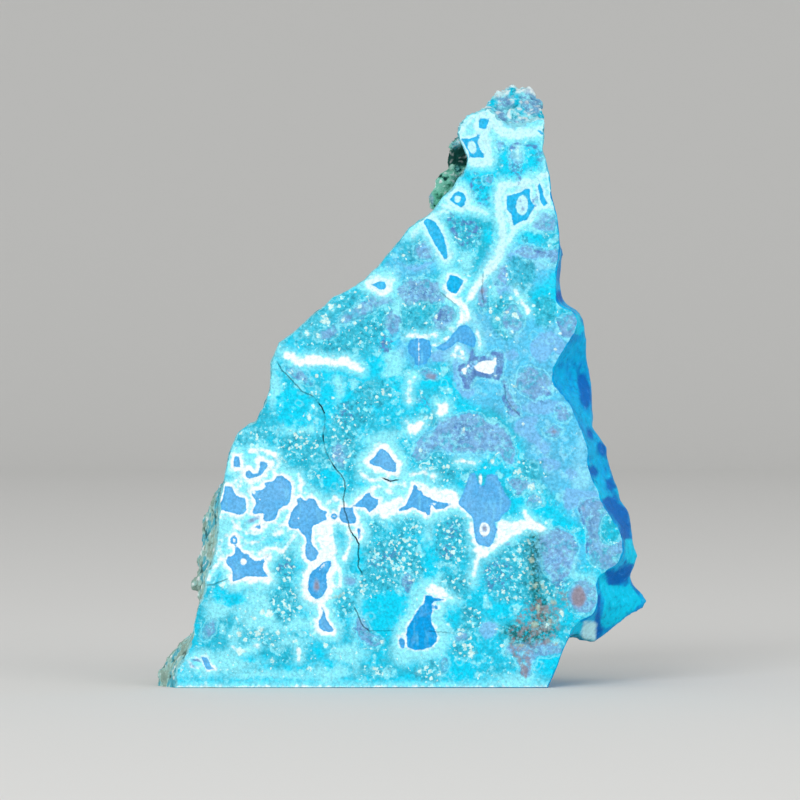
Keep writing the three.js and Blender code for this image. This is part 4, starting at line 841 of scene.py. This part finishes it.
class Paint:
    """The nodes of one material, added by short calls that give back their output sockets."""

    def __init__(self, name, tones, **constants):
        self.material = bpy.data.materials.new(name)
        self.material.use_nodes = True
        self.tree = self.material.node_tree
        self.tones = tones
        self.shader = self.tree.nodes["Principled BSDF"]
        for socket, value in constants.items():
            self.shader.inputs[socket.replace("_", " ")].default_value = value
        self.point = self.vector("SCALE", self.add("ShaderNodeTexCoord").outputs["Object"], Scale=1 / MM)
        x, y, self.height = self.add("ShaderNodeSeparateXYZ", {0: self.point}).outputs
        slanted = self.times_plus(self.height, 0.839, y)
        self.flat = self.add("ShaderNodeCombineXYZ", {0: x, 1: slanted}).outputs[0]

    def add(self, kind, sockets=(), **settings):
        node = self.tree.nodes.new(kind)
        for name, value in settings.items():
            setattr(node, name, value)
        for key, value in dict(sockets).items():
            if isinstance(value, bpy.types.NodeSocket):
                self.tree.links.new(value, node.inputs[key])
            else:
                node.inputs[key].default_value = value
        return node

    def vector(self, operation, *places, **sockets):
        sockets = dict(enumerate(places)) | sockets
        return self.add("ShaderNodeVectorMath", sockets, operation=operation).outputs[0]

    def calc(self, operation, *values):
        return self.add("ShaderNodeMath", enumerate(values), operation=operation).outputs[0]

    plus = partialmethod(calc, "ADD")
    less = partialmethod(calc, "SUBTRACT")
    times = partialmethod(calc, "MULTIPLY")
    times_plus = partialmethod(calc, "MULTIPLY_ADD")
    greatest = partialmethod(calc, "MAXIMUM")
    absolute = partialmethod(calc, "ABSOLUTE")

    def band(self, value, low, high, most=1.0):
        """0 at low, rising evenly to most at high."""
        return self.add("ShaderNodeMapRange", {"Value": value, 1: low, 2: high, 3: 0.0, 4: most},
                        interpolation_type="SMOOTHSTEP").outputs[0]

    def mix(self, share, under, over):
        """One colour over another; each may be a tone's name."""
        under, over = (self.tones[tone] if isinstance(tone, str) else tone for tone in (under, over))
        return self.add("ShaderNodeMix", {0: share, 6: under, 7: over}, data_type="RGBA").outputs[2]

    def coat(self, colour, *coats):
        """Lays coats, each a share and a colour, over a colour, one after the other."""
        for share, over in coats:
            colour = self.mix(share, colour, over)
        return colour

    def field(self, name):
        return self.add("ShaderNodeAttribute", attribute_name=name).outputs["Fac"]

    def cloud(self, size, detail=2.0, roughness=0.5, stretch=None, output="Fac"):
        point = self.vector("MULTIPLY", self.point, stretch) if stretch else self.point
        return self.add("ShaderNodeTexNoise", {"Vector": point, "Scale": 1 / size, "Detail": detail,
                                               "Roughness": roughness}).outputs[output]

    def cells(self, size, ragged, reach):
        """Flat cells over both saw cuts, moved about by a soft cloud: distance to the middle and chances."""
        cloud = self.vector("SUBTRACT", self.cloud(ragged, output="Color"), (0.5, 0.5, 0.5))
        place = self.vector("ADD", self.flat, self.vector("SCALE", cloud, Scale=2 * reach))
        cell = self.add("ShaderNodeTexVoronoi", {"Vector": place, "Scale": 1 / size}, voronoi_dimensions="2D")
        chances = self.add("ShaderNodeSeparateColor", {0: cell.outputs["Color"]}).outputs
        return cell.outputs["Distance"], chances

    def finish(self, colour, lift, roughness, bump, bump_height):
        """Leads a colour, its brightness, the roughness and a relief in millimetres to the shader."""
        shade = self.add("ShaderNodeHueSaturation", {"Value": lift, "Color": colour})
        normal = self.add("ShaderNodeBump", {"Height": bump, "Distance": bump_height * MM, "Strength": 1.0})
        for name, socket in (("Base Color", shade.outputs[0]), ("Roughness", roughness),
                             ("Normal", normal.outputs[0])):
            self.tree.links.new(socket, self.shader.inputs[name])
        return self.material


def palette(colours):
    """Every named colour as a shader takes it."""
    return {name: linear(getattr(colours, name)) for name in StoneColours.__annotations__}


def sawn_face(colours):
    """The honed cut: blue cores in white rims, pale halos, granular clasts, stains, a crack and a painted
    sheen at the right.
    """
    p = Paint("sawn_face", palette(colours), Specular_IOR_Level=0.06)
    broad, sway, mottle = p.cloud(6.0, 3), p.cloud(3.0, 2), p.cloud(1.3, 4, 0.6)
    fine, grain, grit = p.cloud(0.62, 3, 0.65), p.cloud(0.34, 2, 0.6), p.cloud(0.46, 1)
    wander, flutter, swing = (p.less(cloud, 0.5) for cloud in (mottle, fine, sway))

    def edge(name, stray=2.0, ragged=0.6, roam=0.0):
        """A drawn zone's distance field with its outline made to wander."""
        moved = p.times_plus(wander, stray, p.field(name))
        if roam:
            moved = p.times_plus(swing, roam, moved)
        return p.times_plus(flutter, ragged, moved)

    def inside(zone, share=1.0, soft=0.35):
        """The share within a zone's edge, 0 outside."""
        within = p.band(zone, soft, -soft)
        return within if share == 1.0 else p.times(within, share)

    def near(distance, centre, width):
        """1 on the contour at one distance from an edge, 0 a width away from it."""
        return p.band(p.absolute(p.less(distance, centre)), width, width * 0.25)

    def speckle(size, low, high, wanted, share):
        """Small irregular spots, in the wanted share of the cells."""
        middle, chance = p.cells(size, 0.4, 0.3 * size)
        reach = p.times_plus(flutter, 0.6, p.times_plus(chance[1], high - low, low))
        spot = p.band(p.less(middle, reach), 0.12, -0.06, share)
        return p.times(spot, p.calc("LESS_THAN", chance[0], wanted))

    vivid, clast, lilac = edge("vivid", 2.2, roam=1.2), edge("clast", 2.2, roam=0.6), edge("lilac", 1.4)
    lilac_tone = p.coat(
        "lilac",
        (p.band(mottle, 0.52, 0.62, 0.7), "haze"),
        (p.band(mottle, 0.47, 0.37, 0.7), "clast"),
        (p.band(p.cloud(0.9, 3, 0.6), 0.56, 0.66, 0.5), "pale"))
    colour = p.coat(
        "teal",
        (p.band(broad, 0.4, 0.6), "cyan"),
        (p.band(sway, 0.52, 0.64, 0.6), "clast"),
        (p.band(sway, 0.46, 0.36, 0.6), "vivid"),
        (p.band(mottle, 0.52, 0.64, 0.75), "pale"),
        (p.band(mottle, 0.46, 0.36, 0.55), "teal"),
        (inside(edge("pale", 2.6, roam=1.6), 0.85, 0.6), "pale"),
        (inside(vivid, p.plus(p.band(fine, 0.72, 0.42, 0.7), 0.3), 0.4), "vivid"),
        # Painted sheen: a thin haze of the haze tone over the right of the face.
        (inside(edge("painted_sheen", 3.0, roam=2.0), 0.45, 0.9), "haze"),
        (inside(edge("haze", 1.2), 0.8, 0.2), "haze"),
        (inside(clast, 0.85), p.mix(p.band(mottle, 0.42, 0.6), "clast", "teal")),
        (p.times(near(lilac, 0.24, 0.17), 0.45), "pale"),
        (inside(lilac, 0.82, 0.2), lilac_tone))

    in_clast, in_lilac = p.band(clast, 0.5, -0.4), p.band(lilac, 0.3, -0.2)
    in_vivid, busy = p.band(vivid, 0.3, -0.3), p.greatest(in_clast, in_lilac)
    specked = p.times(in_clast, p.less(1.0, p.band(p.height, *SPECKS_THIN, 0.65)))
    # Grain is calmed in the lilac clasts, under the painted sheen and in the vivid patches.
    calm = p.greatest(p.greatest(in_lilac, p.band(p.field("painted_sheen"), 0.5, -1.0)), in_vivid)
    coarse = p.times_plus(specked, 0.1, p.times_plus(wander, 0.3, grit))
    coarse = p.times_plus(calm, -0.06, coarse)
    dim = p.times_plus(in_lilac, -0.2, p.times_plus(busy, 0.45, 0.25))
    light = p.times_plus(in_vivid, -0.16, p.times_plus(busy, 0.3, 0.2))
    middle, chance = p.cells(2.2, 1.0, 0.5)
    eye = p.times(near(middle, 0.22, 0.09), p.band(chance[0], 0.3, 0.25, 0.3))
    specks = p.times_plus(specked, 0.26, 0.01)
    dots = p.times(p.band(vivid, 0.1, -0.4), p.band(p.height, *DARK_DOTS, 0.5))
    olive = edge("olive", 1.4, 1.2)
    colour = p.coat(
        colour,
        (p.times(p.band(fine, 0.48, 0.36), dim), p.mix(in_lilac, "dark", "bruise")),
        (inside(edge("bruise", 2.0), p.band(p.cloud(0.55, 3, 0.7), 0.5, 0.56, 0.8), 0.4), "bruise"),
        (p.times(p.band(fine, 0.54, 0.66), light), "pale"),
        (p.band(coarse, 0.67, 0.74, 0.8), p.mix(p.band(p.cloud(0.9, 2), 0.42, 0.56), "pale", "speck")),
        (speckle(0.66, 0.08, 0.34, specks, 0.85), "speck"),
        (eye, "pale"),
        (speckle(0.6, 0.1, 0.36, dots, 0.6), "dark"),
        (inside(p.less(olive, 0.6), 0.3, 0.8), "olive"),
        (inside(olive, p.band(grain, 0.68, 0.36, 0.9), 0.4), "olive"),
        (inside(edge("rust", 1.6, 1.0), p.band(p.cloud(0.8, 3, 0.7), 0.44, 0.6, 0.7), 0.3), "rust"),
        (inside(edge("ochre", 0.6, 1.0), 0.7, 0.15), "ochre"))

    scallop = p.cells(0.8, 0.9, 0.3)[0]
    white = p.times_plus(scallop, 0.3, p.less(edge("white", 0.9, 0.7), 0.1))
    white_tone = p.mix(p.band(p.height, *RIMS_PALE, 0.6), "white", "pale")
    dot, pupil = edge("dot", 0.8, 1.6), edge("pupil", 0.6, 0.2)
    seam = p.times(p.band(edge("seam", 0.5, 0.6), 0.12, -0.12), p.band(mottle, 0.66, 0.44, 0.85))
    core_edge = edge("core", 0.0, 0.35)
    core = p.coat(
        p.mix(p.field("tint"), "periwinkle", "azure"),
        (p.band(p.cloud(0.55, 2, 0.5, stretch=(1, 1, 0.08)), 0.52, 0.72, 0.22), "pale"),
        (p.band(broad, 0.5, 0.35, 0.3), "azure"),
        (p.band(mottle, 0.5, 0.7, 0.3), "haze"),
        (p.band(p.height, *CORES_CYAN, 0.4), "cyan"),
        (p.band(core_edge, -0.32, -0.08, 0.35), "azure"))
    crack_side = p.absolute(p.times_plus(flutter, 0.3, p.field("crack_side")))
    crack = p.times(p.band(crack_side, 0.12, 0.04), p.field("crack"))
    colour = p.coat(
        colour,
        (p.band(white, 1.1, 0.1, 0.6), "pale"),
        (inside(white, 0.97, 0.24), white_tone),
        (p.times(p.band(white, -0.25, -0.6), p.band(scallop, 0.3, 0.5, 0.3)), "pale"),
        (inside(dot, 0.5, 0.45), "pale"),
        (inside(p.plus(dot, 0.08), 0.9, 0.12), "speck"),
        (seam, "seam"),
        (inside(core_edge, 1.0, 0.08), core),
        (inside(edge("inlay", 0.0, 0.4), 0.9, 0.08), white_tone),
        (inside(pupil, 0.85, 0.14), "lilac"),
        (p.band(edge("stain", 0.6, 0.2), 0.1, -0.4, 0.6), "rust"),
        (p.band(pupil, 0.0, -0.25, 0.45), "rust"),
        (crack, "crack"))

    lift = p.plus(p.band(grain, 0.28, 0.72, 0.34), 0.82)
    saw_lines = p.times_plus(p.cloud(0.3, 2, 0.5, stretch=(1, 1, 0.03)), 0.35, p.times(fine, 0.5))
    height = p.less(saw_lines, p.times(crack, 2.5))
    return p.finish(colour, lift, p.plus(p.band(mottle, 0.3, 0.7, 0.16), 0.36), height, 0.03)


def natural_stone(colours):
    """Every other side: glossy broken shells, domed green crust, nodules, the knob and earthy patches, with
    painted shade in the furrows and painted highlights on the tops.
    """
    p = Paint("natural_stone", palette(colours), Specular_IOR_Level=0.06)
    broad, mottle, fine = p.cloud(7.0, 3), p.cloud(2.2, 4, 0.6), p.cloud(0.7, 4, 0.65)
    relief, broken = p.field("relief"), p.field("broken")
    stray = p.times(p.less(mottle, 0.5), 1.2)
    deep, bright, white_and_lit, flush = (p.plus(p.field(name), stray) for name in FLANK_ZONES)

    shell = p.coat(
        "shell",
        (p.band(mottle, 0.42, 0.62), "azure"),
        (p.band(broad, 0.55, 0.7, 0.6), "vivid"),
        (p.band(p.cloud(3.4, 3), 0.56, 0.62, 0.6), "deep"),
        (p.band(deep, 0.3, -0.25), "deep"),
        (p.band(bright, 0.2, -0.12, 0.85), "vivid"),
        (p.band(fine, 0.44, 0.34, 0.3), "deep"),
        (p.band(fine, 0.62, 0.7, 0.1), "pale"),
        # Painted light: the white facet is made near white so that it looks lit, though it faces down.
        (p.band(white_and_lit, 0.4, -0.2), p.mix(0.65, "white", "pale")))
    crust = p.coat(
        "teal",
        (p.band(mottle, 0.4, 0.6), "cyan"),
        (p.band(fine, 0.5, 0.62, 0.6), "clast"),
        (p.band(p.cloud(6.0, 7, 0.72), 0.48, 0.6, 0.6), "rind"),
        # Painted shade: the furrows between the domes are darkened.
        (p.band(relief, 0.7, 0.3, 0.7), "moss"),
        (p.band(p.cloud(9.0, 8, 0.75, stretch=(1, 1, 1.4)), 0.53, 0.62, 0.6), "tan"),
        (p.band(fine, 0.46, 0.34, 0.7), "dark"),
        (p.band(fine, 0.56, 0.66, 0.6), "pale"),
        # Painted highlight: the domes' tops are lightened.
        (p.band(relief, 0.9, 1.1, 0.6), "pale"))
    # Painted highlight: a band of nodules drawn as if lit.
    lit_nodule_band = p.times(p.band(p.height, *LIT_NODULE_FOOT), p.band(p.height, *LIT_NODULE_TOP))
    nodules = p.coat(
        "leaf",
        (p.band(mottle, 0.5, 0.6), "mint"),
        (p.times(p.band(p.height, *MOSSY), p.band(mottle, 0.6, 0.5)), "moss"),
        # Painted highlight: mint on the tops within the lit band.
        (p.times(lit_nodule_band, p.band(relief, 0.55, 0.8)), "mint"),
        (p.band(flush, 0.2, -0.2, 0.6), "lilac"),
        # Painted shade in the furrows between the nodules.
        (p.band(relief, 0.74, 0.44), "moss"),
        # Painted highlight: white on the highest tops, most within the lit band.
        (p.times(p.band(relief, 0.85, 1.0), p.times_plus(lit_nodule_band, 0.6, 0.3)), "white"))
    vein = p.cloud(1.6, 4, 0.65, stretch=(1, 1, 0.5))
    rind = p.coat(
        "rind",
        (p.band(vein, 0.5, 0.42, 0.8), "teal"),
        (p.band(vein, 0.52, 0.6, 0.45), "tan"),
        # Painted shade in the furrows of the rind.
        (p.band(relief, 0.68, 0.36, 0.7), "moss"),
        # Painted highlight on its highest grains.
        (p.times(p.band(relief, 0.85, 1.05), p.band(vein, 0.6, 0.5)), "white"))
    flushed = p.times(p.band(flush, 0.4, -0.3), p.band(fine, 0.66, 0.44, 0.9))
    knob = p.coat(
        "clast",
        (p.band(fine, 0.4, 0.54), "pale"),
        (flushed, p.mix(0.4, "lilac", "haze")),
        (p.band(bright, 0.3, -0.2), "vivid"),
        # Painted shade in the knob's hollows, bluer under the flush.
        (p.band(relief, 0.54, 0.3, 0.5), p.mix(flushed, "dark", "bruise")),
        (p.band(p.cloud(0.45, 2), 0.54, 0.64, 0.35), "pale"),
        # Painted highlight on the knob's tops.
        (p.band(relief, 0.78, 1.0, 0.7), "white"),
        # White crests of the knob, whitened further as a painted highlight.
        (p.band(white_and_lit, 0.3, -0.3, 0.5), "white"))
    # Paler just behind the sawn face: partly the chipped arris, partly a painted highlight where light
    # catches it.
    chipped_and_lit_arris = p.times(p.band(p.field("behind"), 0.7, 0.2, 0.9), p.band(mottle, 0.7, 0.4))
    colour = p.coat(crust, (p.field("nodule"), nodules), (p.field("sliver"), rind), (p.field("knob"), knob),
                    (chipped_and_lit_arris, "pale"), (broken, shell))

    lift = p.plus(p.band(fine, 0.25, 0.75, 0.3), 0.85)
    pitted = p.times(p.cloud(1.7, 7, 0.72), p.times_plus(broken, -6.5, 7.0))
    return p.finish(colour, lift, p.times_plus(broken, -0.3, 0.62), p.plus(pitted, fine), 0.12)


class ROUGHSTONE_OT_stone(bpy.types.Operator):
    """Build the stone with its sawn face, broken flank and natural crust"""

    bl_idname = "rough_stone.stone"
    bl_label = "Build Stone"

    def execute(self, context):
        sizes, colours = context.scene.stone_sizes, context.scene.stone_colours
        noise.seed_set(STRAY_SEED)
        skin = evenly_meshed(frame["nodes"]["stone"], sizes.grain / MM)
        roughen(skin, sizes)
        cut_stone(skin, sizes)
        places, depth = face_places(read_points(skin.vertices))
        store(skin, "behind", np.clip(depth, 0, FAR))
        for name, distance in markings(places).items():
            if name in FLANK_ZONES:
                distance = distance + FLANK_FADE * np.maximum(depth - FLANK_DEEP, 0)
            elif name not in ("tint", "crack", "crack_side"):
                distance = distance + np.maximum(depth - FACE_DEEP, 0)
            store(skin, name, np.clip(distance, -FAR, FAR))
        lay_charts(skin)
        for name in ("facing_x", "facing_y"):
            skin.attributes.remove(skin.attributes[name])
        skin.transform(Matrix.Scale(MM, 4))
        skin.name = "shattuckite_stone"
        stone = bpy.data.objects.new("shattuckite_stone", skin)
        context.scene.collection.objects.link(stone)
        skin.materials.append(sawn_face(colours))
        skin.materials.append(natural_stone(colours))
        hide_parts("stone")
        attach(stone, "root")
        return {"FINISHED"}


class ROUGHSTONE_OT_stage(bpy.types.Operator):
    """Set the floor and its curved sweep, the soft lights and the camera"""

    bl_idname = "rough_stone.stage"
    bl_label = "Set Stage"

    def execute(self, context):
        scene = context.scene
        stage, objects = scene.stone_stage, scene.collection.objects
        bm = bmesh.new()
        bmesh.ops.create_grid(bm, x_segments=1, y_segments=1, size=FLOOR_HALF)
        back = [edge for edge in bm.edges if all(vert.co.y > 0 for vert in edge.verts)]
        bend = bmesh.ops.spin(bm, geom=back, cent=(0, FLOOR_HALF, SWEEP), axis=(1, 0, 0), angle=math.pi / 2,
                              steps=24)
        top = of_kind(bend["geom_last"], bmesh.types.BMEdge)
        rise = bmesh.ops.extrude_edge_only(bm, edges=top)["geom"]
        bmesh.ops.translate(bm, verts=of_kind(rise, bmesh.types.BMVert), vec=(0, 0, WALL))
        bmesh.ops.recalc_face_normals(bm, faces=bm.faces)
        for face in bm.faces:
            face.smooth = True
        sweep = bpy.data.objects.new("stage_sweep", bpy.data.meshes.new("stage_sweep"))
        bm.to_mesh(sweep.data)
        bm.free()
        objects.link(sweep)
        paper = Paint("stage_paper", {}, Specular_IOR_Level=0.1, Roughness=0.9,
                      Base_Color=linear(stage.floor))
        sweep.data.materials.append(paper.material)

        for name, power, place in (("key_light", stage.key, KEY_PLACE),
                                   ("fill_light", stage.fill, FILL_PLACE)):
            lamp = bpy.data.lights.new(name, "AREA")
            lamp.energy = power
            lamp.size = LAMP_SIDE
            holder = bpy.data.objects.new(name, lamp)
            holder.location = place
            holder.rotation_euler = (LAMPS_AIM - Vector(place)).to_track_quat("-Z", "Y").to_euler()
            objects.link(holder)
        world = scene.world or bpy.data.worlds.new("room")
        scene.world = world
        world.use_nodes = True
        room = world.node_tree.nodes["Background"]
        room.inputs["Color"].default_value = (1, 1, 1, 1)
        room.inputs["Strength"].default_value = stage.sky
        scene.view_settings.view_transform = "Standard"

        lens = bpy.data.cameras.new("camera")
        lens.lens = stage.lens
        lens.sensor_width = 36
        lens.clip_start = 0.01
        camera = bpy.data.objects.new("camera", lens)
        camera.location = (CAMERA_SIDE, FOOT.y * MM - stage.distance, CAMERA_HEIGHT)
        camera.rotation_euler = (math.pi / 2, 0, 0)
        objects.link(camera)
        scene.camera = camera
        return {"FINISHED"}


class ROUGHSTONE_PT_panel(bpy.types.Panel):
    """Sizes, colours and steps of the stone"""

    bl_label = "Rough Stone"
    bl_idname = "ROUGHSTONE_PT_panel"
    bl_space_type = "VIEW_3D"
    bl_region_type = "UI"
    bl_category = "Stone"

    def draw(self, context):
        for group in (context.scene.stone_sizes, context.scene.stone_colours, context.scene.stone_stage):
            box = self.layout.box()
            for name in group.__annotations__:
                box.prop(group, name)
        self.layout.operator(ROUGHSTONE_OT_stone.bl_idname)
        self.layout.operator(ROUGHSTONE_OT_stage.bl_idname)


CLASSES = (StoneSizes, StoneColours, StageSettings, ROUGHSTONE_OT_stone, ROUGHSTONE_OT_stage,
           ROUGHSTONE_PT_panel)


def register():
    for item in CLASSES:
        bpy.utils.register_class(item)
    bpy.types.Scene.stone_sizes = bpy.props.PointerProperty(type=StoneSizes)
    bpy.types.Scene.stone_colours = bpy.props.PointerProperty(type=StoneColours)
    bpy.types.Scene.stone_stage = bpy.props.PointerProperty(type=StageSettings)


def unregister():
    del bpy.types.Scene.stone_sizes, bpy.types.Scene.stone_colours, bpy.types.Scene.stone_stage
    for item in reversed(CLASSES):
        bpy.utils.unregister_class(item)


def main():
    register()
    bpy.ops.rough_stone.stone()
    bpy.ops.rough_stone.stage()


if __name__ == "__main__":
    main()
